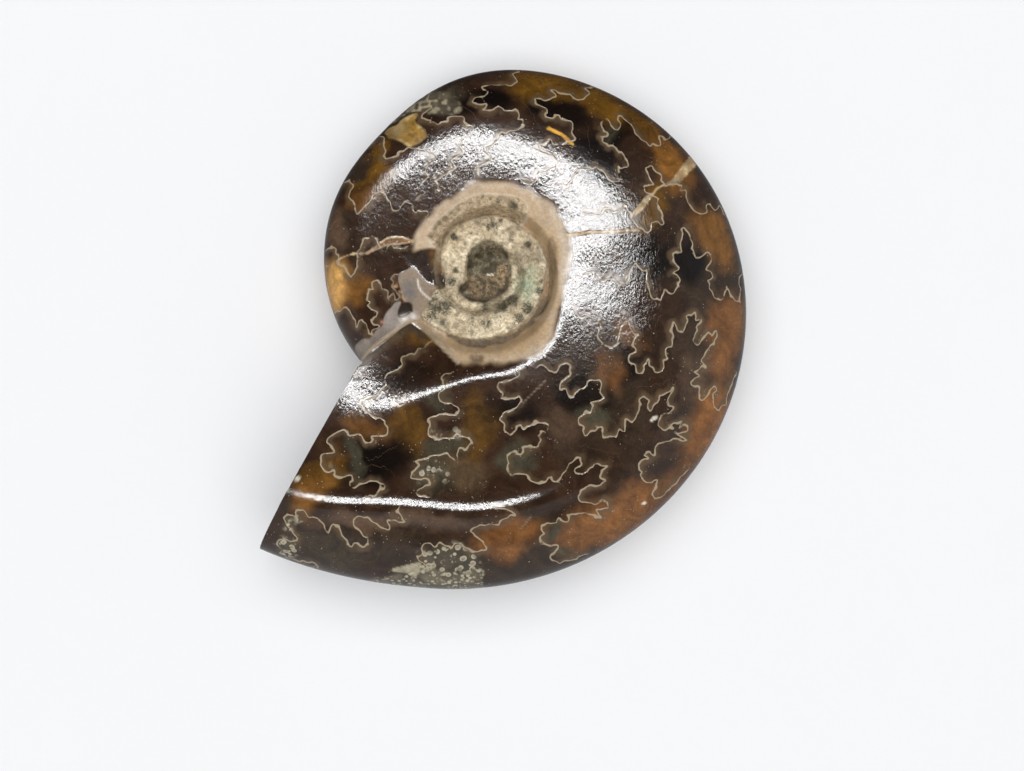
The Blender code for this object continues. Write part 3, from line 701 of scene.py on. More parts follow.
CORE = (
    (1.4, 1.0), (1.1, 1.9), (0.7, 2.5), (0.0, 2.8), (-0.8, 2.7), (-1.6, 2.3), (-2.1, 1.7),
    (-2.2, 1.0), (-2.1, 0.2), (-2.1, -0.3), (-2.6, -0.9), (-2.3, -1.6), (-1.6, -1.9),
    (-0.7, -1.95), (0.2, -1.6), (1.0, -1.0), (1.4, 0.0),
)
BROKEN_WALL = (
    (-6.1, 1.8), (-5.6, 2.0), (-4.9, 2.1), (-4.5, 1.9), (-4.3, 1.0), (-4.0, 0.2), (-3.8, -0.7),
    (-4.3, -0.9), (-5.0, -0.6), (-5.6, 0.0), (-6.1, 0.6), (-6.8, 1.0), (-7.0, 1.6),
)
WALL_CREAM = (0.53, 0.365, 0.205)
WALL_PALE = (0.66, 0.56, 0.44)
RING_CREAM = (0.60, 0.50, 0.35)
RING_WHITE = (0.80, 0.70, 0.52)
RING_SHADE = (0.27, 0.225, 0.155)
RING_OLIVE = (0.16, 0.145, 0.095)
RING_GREEN = (0.40, 0.50, 0.36)
GROOVE_SHADE = (0.155, 0.115, 0.072)
GROOVE_TAN = (0.33, 0.235, 0.145)
CORE_OLIVE = (0.20, 0.165, 0.105)
CORE_TAN = (0.28, 0.20, 0.115)
CORE_DARK = (0.035, 0.024, 0.014)
UNDER_WALL = (0.050, 0.033, 0.026)
UNDER_WALL_EDGE = (0.24, 0.115, 0.035)
OLIVE_MOTTLES = (  # x, y, radius, strength
    (-4.6, -2.3, 0.9, 1.0), (-3.9, -2.6, 0.8, 1.0), (-4.8, -3.2, 0.7, 0.9), (-4.0, -3.7, 0.5, 0.8),
    (-3.4, -1.7, 0.4, 0.7), (-4.5, -1.4, 0.3, 0.6), (0.7, -2.4, 0.7, 0.9), (1.5, -2.0, 0.7, 1.0),
    (2.6, -2.6, 0.6, 1.0), (2.1, -3.3, 0.6, 0.9), (1.6, -3.8, 0.3, 0.6), (-0.7, -2.5, 0.5, 0.8),
    (-0.6, -3.8, 0.5, 0.9), (-1.6, -3.5, 0.5, 0.7), (-1.7, -4.5, 0.4, 0.6), (0.3, -3.1, 0.4, 0.6),
    (3.6, -1.2, 0.5, 0.8), (3.9, -0.4, 0.4, 0.6), (-3.3, -0.4, 0.5, 0.8), (-3.0, 0.5, 0.3, 0.9),
    (-3.1, 3.1, 0.4, 0.8), (0.0, 4.1, 0.6, 0.8), (-0.4, 3.8, 0.3, 0.7), (0.5, 4.4, 0.3, 0.7),
    (1.6, 5.4, 0.4, 0.8), (0.4, 5.8, 0.3, 0.6), (2.7, 2.5, 0.35, 0.9), (1.5, 4.4, 0.4, 0.6),
    (-1.8, 3.4, 0.3, 0.5), (3.4, 0.9, 0.6, 0.35), (-2.7, 1.6, 0.3, 0.5),
)
RIM_PITS = (  # a line of holes along the wall's upper left edge: x, y, radius, depth in mm
    (-4.9, 3.1, 0.22, 0.16), (-4.5, 3.6, 0.16, 0.12), (-4.2, 4.0, 0.20, 0.16),
    (-3.7, 4.4, 0.24, 0.18), (-3.3, 4.8, 0.16, 0.12), (-4.4, 2.6, 0.16, 0.10),
    (-2.6, 5.1, 0.14, 0.08), (-1.8, 5.7, 0.18, 0.10), (-0.9, 6.1, 0.16, 0.10),
    (-0.3, 6.0, 0.12, 0.06), (0.4, 5.8, 0.16, 0.08), (1.4, 5.5, 0.30, 0.14),
    (1.7, 5.3, 0.20, 0.12), (2.7, 2.5, 0.26, 0.16), (-3.0, 0.5, 0.22, 0.14),
    (-3.0, 3.1, 0.28, 0.12), (-0.2, 4.1, 0.30, 0.12), (0.5, 4.4, 0.20, 0.10),
    (-2.1, -1.2, 0.30, -0.20), (-2.4, -0.9, 0.35, 0.20), (-0.2, 0.2, 0.16, -0.10),
    (-1.3, -6.5, 0.42, 0.40), (-1.0, -6.5, 0.30, 0.20),
)
WALL_CRACK = ((4.8, -3.8), (4.6, -4.6), (4.2, -5.5), (3.0, -6.3))
WALL_PALE_FROM = 4.9  # the wall is paler to the right of this
CORE_CHIP = ((0.3, 0.9), (1.0, 0.9), (1.0, 0.1), (0.3, 0.1))
CORE_GLINT = ((-0.5, 0.3), (-0.05, 0.28), (-0.05, 0.14), (-0.5, 0.14))
CORE_LIP = ((-2.1, -1.3, 0.28, 1.0),)  # this and those below: x, y, radius, strength
RING_SHADES = ((2.6, 1.6, 1.1, 0.7), (-2.5, -0.9, 0.8, 0.6), (0, -2.4, 0.9, 0.5))
RING_GREENS = ((2.6, -0.8, 0.9, 0.9), (3.0, 0.3, 0.6, 0.5), (2.6, -1.7, 0.6, 0.6))
UNDER_WALL_EDGES = ((-4.7, 1.7, 0.35, 1), (-4.5, 1.1, 0.4, 1), (-4.2, 0.5, 0.35, 0.8))
CHIP_TAN = (0.42, 0.29, 0.16)
GLINT_WHITE = (0.80, 0.76, 0.62)
LIP_CREAM = (0.45, 0.39, 0.30)
CORE_DEPTH = 0.30
BROKEN_DEPTH = 0.02
GROOVE_DEPTH = 0.12
TERRACE_DEPTH = 0.10
TURN_STEPS = ((2.9, 0.05), (3.5, 0.04), (2.45, 0.06))  # radius and depth of faint growth steps
TURN_CENTRE = (-0.3, 0.3)
TURN_WIDTH = 0.12


def clots(level, coarse, fine, seed):
    """Random soft-edged patches, from two clouds given by their size and weight."""
    for k, (size, weight) in enumerate((coarse, fine)):
        level = level + weight * cloud(size, seed + k)
    return smooth_step(level)


relief = np.zeros(len(plan))
marks = {}
rough_plan = strayed(0.10, 0.5, 31)
wall = patch(WALL, 0.6, rough_plan)
ring = patch(RING, 0.12, rough_plan)
groove = patch(GROOVE, 0.20, rough_plan)
core = patch(CORE, 0.25, rough_plan)
terrace = patch(TERRACE, 0.20, rough_plan) * (1 - ring)
broken = patch(BROKEN_WALL, 0.35, rough_plan)

# The wall, paler at its edge and its right, mottled and cracked.
paint(WALL_CREAM, wall)
paint(WALL_PALE, wall * clots(-0.2, (1.3, 1.3), (0.4, 0.8), 55) * 0.4)
paint(WALL_PALE, wall * smooth_step((plan[:, 0] - WALL_PALE_FROM) / 0.8) * 0.7)
# The crack is drawn as a thin line of painted shade.
paint(GROOVE_TAN, wall * bump(line_field((WALL_CRACK,), 0.6)[0], 0, 0.09) * 0.9)
fringe = bump(inside_field(WALL, 1.5), 0.25, 0.35) * (0.6 + 0.4 * cloud(0.3, 57))
paint(WALL_PALE, wall * fringe * 0.45)
paint(GROOVE_TAN, wall * clots(0, (0.9, 1.0), (0.35, 0.6), 58) * 0.45)

# The terrace, the groove and the ring, with mud in them; the groove's lower side is painted shade.
paint(RING_CREAM, terrace * 0.75)
paint(GROOVE_TAN, terrace * (0.35 + 0.3 * cloud(0.4, 41)))
paint(GROOVE_TAN, groove * smooth_step((plan[:, 1] + 2.2) / 1.5))
# Painted shade: the groove's lower side is greyer.
paint(GROOVE_SHADE, groove * (1 - smooth_step((plan[:, 1] + 2.4) / 1.5)))
paint(RING_CREAM, ring)
paint(RING_WHITE, ring * clots(0.4, (1.1, 1.0), (0.4, 0.5), 42))
paint(RING_SHADE, ring * clots(-0.1, (0.8, 1.0), (0.3, 0.7), 44) * 0.8)
paint(RING_SHADE, ring * blobs(RING_SHADES))
paint(RING_GREEN, ring * blobs(RING_GREENS))
# Painted shade: a thin dark line round the ring's outer edge.
paint(GROOVE_SHADE, bump(inside_field(RING, 1.0), -0.02, 0.07) * 0.75)
# Painted highlight: a thin pale line along the terrace's edge on the wall.
paint(WALL_PALE, bump(inside_field(TERRACE, 1.0), -0.10, 0.08) * wall * (1 - ring) * 0.7)
speckle = clots(0.5, (0.24, 1.3), (0.5, 0.8), 46)
mottled = blobs(OLIVE_MOTTLES)
paint(RING_OLIVE, (ring + terrace) * smooth_step(1.5 * mottled - 0.35) * (0.35 + 0.65 * speckle))

# The core, shaded under its lower edge, and the brown calcite where the wall has broken away.
paint(CORE_OLIVE, core)
paint(CORE_TAN, core * smooth_step((0.5 - plan[:, 1]) / 1.0 + 0.3 * cloud(0.5, 48)))
paint(CORE_DARK, core * clots(0, (0.30, 1.4), (0.7, 0.9), 49) * 0.75)
paint(CHIP_TAN, core * patch(CORE_CHIP, 0.2) * 0.8)
# Painted highlight: a small white glint in the core.
paint(GLINT_WHITE, patch(CORE_GLINT, 0.12))
paint(LIP_CREAM, blobs(CORE_LIP))
shadow_edge = bump(inside_field(CORE, 1.0), 0.1, 0.3) * smooth_step((-plan[:, 1] - 0.2) / 0.8)
paint(CORE_DARK, shadow_edge * 0.7)
paint(UNDER_WALL, broken)
paint(UNDER_WALL_EDGE, broken * blobs(UNDER_WALL_EDGES))
pits = np.zeros(len(plan))
for x, y, radius, depth in RIM_PITS:
    hole = np.exp(-((np.hypot(rough_plan[:, 0] - x, rough_plan[:, 1] - y) / radius) ** 4))
    relief -= depth * hole
    pits = np.maximum(pits, hole * (depth > 0))
paint(CORE_DARK, pits * 0.55)

chalk = np.clip(np.maximum(ring, terrace) + core + groove * 0.8, 0, 1)
marks["chalk"] = chalk * (1 - broken)
marks["mud"] = np.clip(1.2 * mottled * (ring + terrace) + 0.75 * core, 0, 1)
marks["wall"] = wall * (1 - chalk) * (1 - broken)
relief -= CORE_DEPTH * core + GROOVE_DEPTH * groove + TERRACE_DEPTH * terrace
relief -= BROKEN_DEPTH * broken
relief += chalk * (0.045 * cloud(0.5, 51) + 0.03 * cloud(0.22, 52)) + core * 0.08 * cloud(0.35, 53)
relief += wall * (1 - chalk) * 0.03 * cloud(1.2, 54)
turn_radius = np.hypot(*(plan - TURN_CENTRE).T)
for radius, depth in TURN_STEPS:
    relief -= ring * depth * bump(turn_radius, radius, TURN_WIDTH)

# ---------------------------------------------------------------------------------------------
# The broken edge at the left, where the last whorl ends over the one before. Thin flakes of
# mother-of-pearl and a cream line of shell are left along it.
# ---------------------------------------------------------------------------------------------
FLAKE = (
    (-10.9, -5.7), (-10.2, -5.0), (-9.6, -4.9), (-9.0, -4.2), (-8.6, -3.9), (-8.5, -3.3),
    (-8.1, -2.7), (-7.6, -2.3), (-7.2, -2.2), (-7.4, -2.8), (-7.3, -3.3), (-6.9, -3.3),
    (-6.3, -2.9), (-6.0, -3.4), (-6.9, -4.0), (-8.1, -4.9), (-9.4, -5.9), (-10.3, -6.6),
)
TONGUE = (
    (-7.0, -2.0), (-7.2, -1.2), (-7.4, -0.4), (-7.3, 0.1), (-6.8, 0.3), (-6.2, 0.6), (-5.7, 0.0),
    (-5.1, -0.6), (-4.3, -0.9), (-4.7, -1.5), (-4.9, -2.0), (-5.4, -2.7), (-5.9, -3.2),
    (-6.3, -2.7), (-6.5, -2.2),
)
DARK_HOLE = ((-7.4, -3.2), (-7.3, -2.6), (-6.9, -2.2), (-6.4, -2.2), (-6.3, -2.7), (-6.8, -3.1))
SHELL_LINE = (
    (-10.5, -7.4), (-10.4, -6.9), (-9.7, -6.0), (-8.9, -5.4), (-8.2, -4.8), (-7.6, -4.4),
    (-7.0, -3.9), (-6.3, -3.6), (-5.4, -4.2), (-4.5, -5.0), (-3.6, -5.9), (-2.7, -6.8),
)
TONGUE_SHADES = ((-6.7, -1.4, 0.7, 0.9), (-6.4, -0.8, 0.5, 0.6))  # x, y, radius, strength
FLAKE_HIGHLIGHTS = ((-6.9, -3.5, 0.35, 0.9), (-6.2, -3.3, 0.3, 0.8))
FLECKS = ((-7.6, -0.9, 0.25, 1), (-7.2, -1.3, 0.22, 1), (-7.0, -1.8, 0.25, 0.9))
RED_FLECK = ((-8.65, -3.7, 0.16, 0.9),)
STREAK = ((-5.9, -0.4), (-5.8, -0.9), (-5.5, -1.4), (-4.9, -1.9))
FLAKE_WHITE = (0.33, 0.28, 0.24)
FLAKE_HIGHLIGHT = (0.85, 0.78, 0.72)
TONGUE_GREY = (0.270, 0.195, 0.130)
TONGUE_SHADE = (0.12, 0.115, 0.115)
STREAK_WHITE = (0.8, 0.72, 0.62)
HOLE_BROWN = (0.03, 0.02, 0.015)
FLECK_TAN = (0.50, 0.30, 0.16)
FLECK_RED = (0.60, 0.30, 0.22)
SHELL_CREAM = (0.52, 0.41, 0.28)
BELOW_BROWN = (0.10, 0.07, 0.045)
SHELL_LINE_WIDTH = 0.26
BELOW_LINE_END = -5.2  # the brown under the line fades out before this X

flake, tongue, hole = patch(FLAKE, 0.15), patch(TONGUE, 0.12), patch(DARK_HOLE, 0.15)
paint(FLAKE_WHITE, flake * (0.75 + 0.25 * cloud(0.6, 61)))
paint(TONGUE_GREY, tongue)
paint(TONGUE_SHADE, tongue * blobs(TONGUE_SHADES))
paint(STREAK_WHITE, tongue * bump(line_field((STREAK,), 0.6)[0], 0, 0.07))
paint(HOLE_BROWN, hole)
paint(FLECK_TAN, blobs(FLECKS) * smooth_step(0.6 + cloud(0.2, 62)))
# Painted highlights: two near-white patches on the mother-of-pearl.
paint(FLAKE_HIGHLIGHT, blobs(FLAKE_HIGHLIGHTS))
paint(FLECK_RED, blobs(RED_FLECK))
shell_away, shell_side = line_field((SHELL_LINE,), 1.0)
shell_line = smooth_step((SHELL_LINE_WIDTH - shell_away) / 0.16)
below_line = bump(shell_away * shell_side, -0.55, 0.30) * (plan[:, 0] < BELOW_LINE_END)
paint(BELOW_BROWN, below_line * 0.8)
paint(SHELL_CREAM, shell_line)
relief += 0.03 * flake + 0.015 * tongue - 0.04 * hole + 0.03 * shell_line
marks["pearl"] = np.clip(flake + tongue, 0, 1)

# ---------------------------------------------------------------------------------------------
# Veins. The stone cracked and calcite healed it, as tan bands across the flank. A clear yellow
# patch and a grey one of rock lie under the rim at the upper left.
# ---------------------------------------------------------------------------------------------
VEINS = (  # points, then half widths there
    (((16.0, 9.4), (15.3, 8.7), (14.7, 8.0), (14.2, 7.4), (13.4, 7.1), (12.8, 6.8), (12.4, 6.3),
      (11.8, 5.7), (11.2, 5.0), (10.7, 4.5)),
     (0.45, 0.42, 0.32, 0.26, 0.07, 0.06, 0.12, 0.26, 0.20, 0.08)),
    (((15.9, 9.9), (15.5, 9.4), (15.1, 8.8)), (0.12, 0.10, 0.05)),
    (((5.7, 3.0), (7.0, 3.2), (9.0, 3.3), (10.5, 3.4), (11.3, 3.4)), (0.16, 0.09, 0.07, 0.09, 0.05)),
    (((-13.4, 0.9), (-12.8, 0.7), (-12.3, 1.1), (-11.2, 1.6), (-9.9, 1.7), (-9.3, 2.0),
      (-8.8, 2.3), (-8.2, 2.6), (-7.4, 2.7), (-6.3, 2.6)),
     (0.03, 0.05, 0.06, 0.06, 0.09, 0.10, 0.22, 0.34, 0.36, 0.12)),
)
YELLOW = (
    (-8.6, 11.5), (-8.3, 11.8), (-7.6, 12.0), (-7.3, 12.4), (-6.5, 12.8), (-6.0, 12.8),
    (-6.2, 12.2), (-5.6, 11.6), (-5.2, 11.0), (-5.4, 10.7), (-6.0, 10.3), (-6.6, 10.1),
    (-7.2, 10.5), (-7.8, 10.8), (-8.3, 11.0),
)
ROCK = (
    (-9.6, 11.6), (-8.6, 12.1), (-7.7, 12.5), (-6.8, 12.9), (-5.4, 12.9), (-4.0, 12.6), (-2.6, 13.0),
    (-3.2, 14.2), (-4.6, 14.9), (-6.5, 15.0), (-8.4, 13.8), (-9.8, 12.4),
)
VEIN_TAN = (0.50, 0.34, 0.165)
VEIN_PALE = (0.66, 0.52, 0.32)
VEIN_WANDER = 0.05
FRILL_AMBER_FROM = 0.15  # the half width from which the left vein is amber inside
YELLOW_CLEAR = (0.39, 0.22, 0.035)
YELLOW_PALE = (0.60, 0.47, 0.24)
YELLOW_BROWN = (0.20, 0.11, 0.03)
YELLOW_TAN = (0.36, 0.27, 0.14)
YELLOW_TANS = ((-7.6, 11.5, 0.8, 0.8),)  # x, y, radius, strength
ROCK_GREY = (0.15, 0.125, 0.085)
ROCK_CREAM = (0.42, 0.37, 0.26)

vein = np.zeros(len(plan))
for line, widths in VEINS:
    line_x = np.array(line)[:, 0]
    order = np.argsort(line_x)
    width = np.interp(plan[:, 0], line_x[order], np.array(widths)[order])
    away = line_field((line,), 1.5)[0] + VEIN_WANDER * cloud(0.3, 71)
    vein = np.maximum(vein, 1 - smooth_step((away - width) / 0.12 + 0.5))
paint(VEIN_TAN, vein)
paint(VEIN_PALE, vein * smooth_step(0.2 + 1.5 * cloud(0.35, 72)))
# The last of them, at the left, is a frill of amber between two pale lines.
paint(AMBER, smooth_step((0.6 * width - away) / 0.1 + 0.5) * (width > FRILL_AMBER_FROM))
yellow = patch(YELLOW, 0.2)
yellow_edge = smooth_step(0.75 - inside_field(YELLOW) / 0.3 + 0.9 * cloud(0.5, 73))
paint(YELLOW_CLEAR, yellow)
paint(YELLOW_PALE, yellow * yellow_edge)
paint(YELLOW_BROWN, yellow * clots(-0.2, (0.45, 1.5), (0.2, 1.0), 78) * 0.8)
paint(YELLOW_TAN, yellow * blobs(YELLOW_TANS))
rock = patch(ROCK, 0.5)
paint(ROCK_GREY, rock * (0.65 + 0.35 * cloud(0.4, 74)))
paint(ROCK_CREAM, rock * clots(-0.1, (0.26, 1.8), (0.7, 0.8), 75))
marks["vein"] = np.clip(vein + yellow * 0.6 + rock * 0.7, 0, 1)
relief += 0.02 * vein * cloud(0.2, 77)

# ---------------------------------------------------------------------------------------------
# Grains. Round grains of cream calcite grew in clusters in the outer chambers, and a band of
# rubble of the same runs along the rim at the bottom.
# ---------------------------------------------------------------------------------------------
CLUSTERS = (
    (-15.8, -21.0, 0.9, 1.3), (-15.4, -19.2, 0.6, 0.9), (-14.7, -18.7, 0.5, 0.7),
    (-5.0, -22.0, 1.1, 0.9), (-3.9, -21.6, 1.0, 1.0), (-2.9, -21.4, 1.0, 1.0),
    (-2.0, -22.1, 1.1, 1.0), (-3.4, -22.8, 1.1, 0.9), (-5.0, -15.2, 1.1, 0.8),
    (-3.9, -15.3, 0.9, 0.7), (-4.6, -14.6, 0.8, 0.6), (-2.7, -12.2, 0.7, 0.6),
    (-4.2, -12.2, 0.8, 0.6), (-12.2, -14.6, 0.5, 0.4),
)
RUBBLE = (
    (-10.6, -23.6), (-8.0, -22.9), (-5.6, -22.6), (-3.4, -23.0), (-1.4, -22.6), (-0.6, -23.3),
    (-1.2, -24.6), (-4.0, -25.2), (-8.0, -25.0), (-10.8, -24.4),
)
CREAM_CHIP = (
    (-7.8, -22.7), (-6.6, -22.3), (-5.5, -22.1), (-5.6, -22.7), (-6.0, -23.3), (-6.6, -23.0),
)
DUST = ((11.6, -17.7, 0.14), (12.4, -11.1, 0.18), (12.2, -11.3, 0.12), (-14.7, -15.6, 0.2))
GLINT = ((4.3, 11.5), (5.3, 11.0), (6.2, 10.2))
SCRATCHES = (((4.0, -8.2), (2.2, -10.0)), ((2.1, -19.5), (2.9, -18.5)))
GRAIN_BED = (0.10, 0.088, 0.062)
RUBBLE_GREY = (0.20, 0.18, 0.125)
CHIP_CREAM = (0.50, 0.45, 0.33)
GLINT_GOLD = (0.95, 0.52, 0.08)
SCRATCH_TAN = (0.30, 0.24, 0.18)
DUST_WHITE = (0.85, 0.80, 0.70)
GLINT_WIDTH = 0.13
SCRATCH_WIDTH = 0.05
RUBBLE_STRAY = 1.3  # how far the rubble's ends wander down the rim, mm
RIM_HALF_HEIGHT = 3.0  # below this half height the surface is the rim's

down_rim = np.stack([side_height, 0.3 * plan[:, 0]], axis=1)
stray = RUBBLE_STRAY * (1 - smooth_step((np.abs(side_height) - RIM_HALF_HEIGHT) / 1.5))
stray = stray * (cloud(1.9, 83, down_rim) + 0.5 * cloud(0.7, 84, down_rim))
rubble = patch(RUBBLE, 0.4, plan + np.stack([stray, np.zeros_like(stray)], axis=1))
marks["rubble"] = rubble
marks["grains"] = smooth_step(1.6 * blobs(CLUSTERS) - 0.35)
paint(GRAIN_BED, marks["grains"] * 0.75)
paint(RUBBLE_GREY, rubble * (0.65 + 0.35 * cloud(0.5, 81)))
paint(CHIP_CREAM, patch(CREAM_CHIP, 0.12))
# Painted highlight: a thin gold-orange glint across the upper flank.
glint_away = line_field((GLINT,), 1.0)[0] + 0.06 * cloud(0.25, 82)
paint(GLINT_GOLD, smooth_step((GLINT_WIDTH - glint_away) / 0.1 + 0.5))
paint(SCRATCH_TAN, bump(line_field(SCRATCHES, 0.5)[0], 0, SCRATCH_WIDTH) * 0.7)
for x, y, radius in DUST:
    away = np.hypot(rough_plan[:, 0] - x, rough_plan[:, 1] - y)
    paint(DUST_WHITE, 1 - smooth_step((away - radius) / 0.08 + 0.5))

# ---------------------------------------------------------------------------------------------
# The stone itself, one mesh. Its middle plane leans a little, because it rests on one flank, and
# the low side is ground to a small flat. It takes its place from the CAD model's box.
# ---------------------------------------------------------------------------------------------
MIDDLE_HEIGHT = 4.36
MIDDLE_SLOPE_X = -0.007
MIDDLE_SLOPE_Y = -0.09
POLISH_WAVES = ((3.4, 0.020), (1.3, 0.006))  # size and depth left by the wheel
SHARP_ANGLE = 40
UV_TOP_SPAN = 64  # millimetres of the top that would fill the map
UV_UNDER_SPAN = 190
UV_TOP_CENTRE = (0.345, 0.54)
UV_UNDER_CENTRE = (0.855, 0.30)
UV_RIM_SPREAD = 0.9
LINE_WEAR = 0.45  # how much of a suture's line is left by the umbilicus
LINE_WEAR_RADIUS = 7.0
LINE_WEAR_REACH = 3.5

polished = 1 - np.clip(wall + ring + terrace + flake + tongue, 0, 1)
for k, (size, depth) in enumerate(POLISH_WAVES):
    relief += polished * depth * cloud(size, 91 + k)
relief *= smooth_step((np.abs(side_height) - 0.5) / 1.0)
height = side_height + np.sign(side_height) * relief
middle = MIDDLE_HEIGHT + MIDDLE_SLOPE_X * plan[:, 0] + MIDDLE_SLOPE_Y * plan[:, 1]
low, high = (np.array(corner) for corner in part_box("ammonite"))
axis = (low + high)[:2] / 2 - (plan.min(axis=0) + plan.max(axis=0)) / 2 * MM
placed = np.empty_like(points)
placed[:, :2] = plan * MM + axis
placed[:, 2] = np.maximum(middle + height, 0) * MM

fossil_mesh = bpy.data.meshes.new("ammonite_fossil")
fossil_mesh.vertices.add(len(placed))
fossil_mesh.vertices.foreach_set("co", placed.ravel())
fossil_mesh.loops.add(triangles.size)
fossil_mesh.loops.foreach_set("vertex_index", triangles.ravel())
fossil_mesh.polygons.add(len(triangles))
fossil_mesh.polygons.foreach_set("loop_start", np.arange(0, triangles.size, 3))
fossil_mesh.update(calc_edges=True)
fossil_mesh.shade_smooth()
fossil_mesh.set_sharp_from_angle(angle=math.radians(SHARP_ANGLE))
fossil = bpy.data.objects.new("ammonite_fossil", fossil_mesh)
bpy.context.scene.collection.objects.link(fossil)

marks["suture"] = suture_distance * suture_side
marks["suture_away"] = suture_distance
wear = smooth_step((np.hypot(*plan.T) - LINE_WEAR_RADIUS) / LINE_WEAR_REACH)
marks["suture_wear"] = LINE_WEAR + (1 - LINE_WEAR) * wear
for name, values in marks.items():
    attribute = fossil_mesh.attributes.new(name, "FLOAT", "POINT")
    attribute.data.foreach_set("value", values.astype(np.float32))
attribute = fossil_mesh.attributes.new("tint", "FLOAT_COLOR", "POINT")
rgba = np.column_stack([tint, np.ones(len(tint))])
attribute.data.foreach_set("color", rgba.astype(np.float32).ravel())

# The map unrolls each side around the axis, by the distance along the surface.
below_crest = np.clip(LIP_HALF_THICKNESS - np.abs(side_height), 0, None)
spread_out = np.hypot(*plan.T) + UV_RIM_SPREAD * below_crest
bearing = np.arctan2(plan[:, 1], plan[:, 0])
flat = np.stack([np.cos(bearing), np.sin(bearing)], axis=1) * spread_out[:, None]
on_top = (side_height[triangles].mean(axis=1) > 0)[:, None, None]
corners = flat[triangles]
uv = np.where(
    on_top,
    corners / UV_TOP_SPAN + UV_TOP_CENTRE,
    corners / UV_UNDER_SPAN * (-1, 1) + UV_UNDER_CENTRE,
)
uv_layer = fossil_mesh.uv_layers.new(name="OFBake")
uv_layer.uv.foreach_set("vector", uv.astype(np.float32).ravel())

# ---------------------------------------------------------------------------------------------
# The finish. The flanks are wheel-polished to a wet gloss with fine scratches and sparkling
# crystal faces under them. The chalky umbilicus is matt, and its cream wall has a soft sheen.
# ---------------------------------------------------------------------------------------------
LINE_WIDTH = 0.082
LINE_COLOUR = (0.42, 0.335, 0.220, 1)
LINE_BORDER_COLOUR = (0.125, 0.080, 0.044, 1)
CLOUD_DARK = (0.45, 0.42, 0.38, 1)
CLOUD_PALE = (1.30, 1.28, 1.22, 1)
GRIT_DARK = (0.72, 0.70, 0.67, 1)
GRIT_PALE = (1.2, 1.2, 1.2, 1)
CHALK_DARK = (0.55, 0.52, 0.45, 1)
CHALK_PALE = (1.34, 1.32, 1.28, 1)
MUD_COLOUR = (0.048, 0.044, 0.027, 1)
GRAIN_CREAM = (0.54, 0.48, 0.34, 1)
GRAIN_GROUND = (0.13, 0.105, 0.065, 1)
DUST_COLOUR = (0.55, 0.50, 0.42, 1)
GRAINS_PER_MM = 1.95
RUBBLE_PER_MM = 2.7
DUST_PER_MM = 1.5
PORES_PER_MM = 3.1
FLANK_ROUGHNESS = 0.15
CHALK_ROUGHNESS = 0.72
WALL_ROUGHNESS = 0.42
SCRATCH_ROUGHNESS = 0.16
CRYSTALS_PER_MM = 5.2
CRYSTAL_RELIEF = 0.017  # these four in millimetres
CHALK_RELIEF = 0.06
FACET_RELIEF = 0.008
LINE_RELIEF = -0.006
GRAIN_RELIEF = 0.012
COAT = 0.8
COAT_ROUGHNESS = 0.05
COAT_IOR = 1.5
CALCITE_IOR = 1.56
MOTTLE_INPUTS = {"Size": 1.0, "Detail": 4.0, "Roughness": 0.55, "Distortion": 0.0}


def node(kind, inputs=(), **settings):
    made = tree.nodes.new(kind)
    for name, value in settings.items():
        setattr(made, name, value)
    for name, value in dict(inputs).items():
        if isinstance(value, bpy.types.NodeSocket):
            tree.links.new(value, made.inputs[name])
        else:
            made.inputs[name].default_value = value
    return made


def maths(operation, first, second=0.0, third=0.0):
    inputs = {0: first, 1: second, 2: third}
    return node("ShaderNodeMath", inputs, operation=operation).outputs[0]


def product(*factors):
    result = factors[0]
    for factor in factors[1:]:
        result = maths("MULTIPLY", result, factor)
    return result


def scaled(vector, factors):
    return node("ShaderNodeVectorMath", {0: vector, 1: factors}, operation="MULTIPLY").outputs[0]


def place_in_mm():
    """Where a point is on its object, in millimetres."""
    return scaled(node("ShaderNodeTexCoord").outputs["Object"], (1 / MM, 1 / MM, 1 / MM))


def mark(name):
    return node("ShaderNodeAttribute", attribute_name=name).outputs["Fac"]


def step_between(value, low, high):
    """0 below one value and 1 above the other, smooth between them; the other way if low > high."""
    inputs = {"Value": value, "From Min": low, "From Max": high}
    return node("ShaderNodeMapRange", inputs, interpolation_type="SMOOTHSTEP").outputs[0]


def mix(share, below, above, blend="MIX"):
    """Mixes two colours, which are the node's inputs 6 and 7."""
    inputs = {0: share, 6: below, 7: above}
    return node("ShaderNodeMix", inputs, data_type="RGBA", blend_type=blend).outputs[2]


def cell_distance(per_mm, randomness=1.0):
    """How far the nearest of some scattered points is, in the width of a cell."""
    inputs = {"Vector": in_mm, "Scale": per_mm, "Randomness": randomness}
    return node("ShaderNodeTexVoronoi", inputs).outputs["Distance"]


# Mottling, for the stone and the table alike: noise with features of a size in millimetres.
tree = mottle_group = bpy.data.node_groups.new("mottle", "ShaderNodeTree")
for name, value in MOTTLE_INPUTS.items():
    socket = tree.interface.new_socket(name, in_out="INPUT", socket_type="NodeSocketFloat")
    socket.default_value = value
tree.interface.new_socket("Value", in_out="OUTPUT", socket_type="NodeSocketFloat")
asked = node("NodeGroupInput").outputs
mottle_noise = node("ShaderNodeTexNoise", {
    "Vector": place_in_mm(),
    "Scale": maths("DIVIDE", 1.0, asked["Size"]),
    "Detail": asked["Detail"],
    "Roughness": asked["Roughness"],
    "Distortion": asked["Distortion"],
})
node("NodeGroupOutput", {"Value": mottle_noise.outputs["Fac"]})


def mottle(*values):
    """The mottling, given its size and as many of its other inputs as differ."""
    inputs = {**MOTTLE_INPUTS, **dict(zip(MOTTLE_INPUTS, values))}
    return node("ShaderNodeGroup", inputs, node_tree=mottle_group).outputs["Value"]


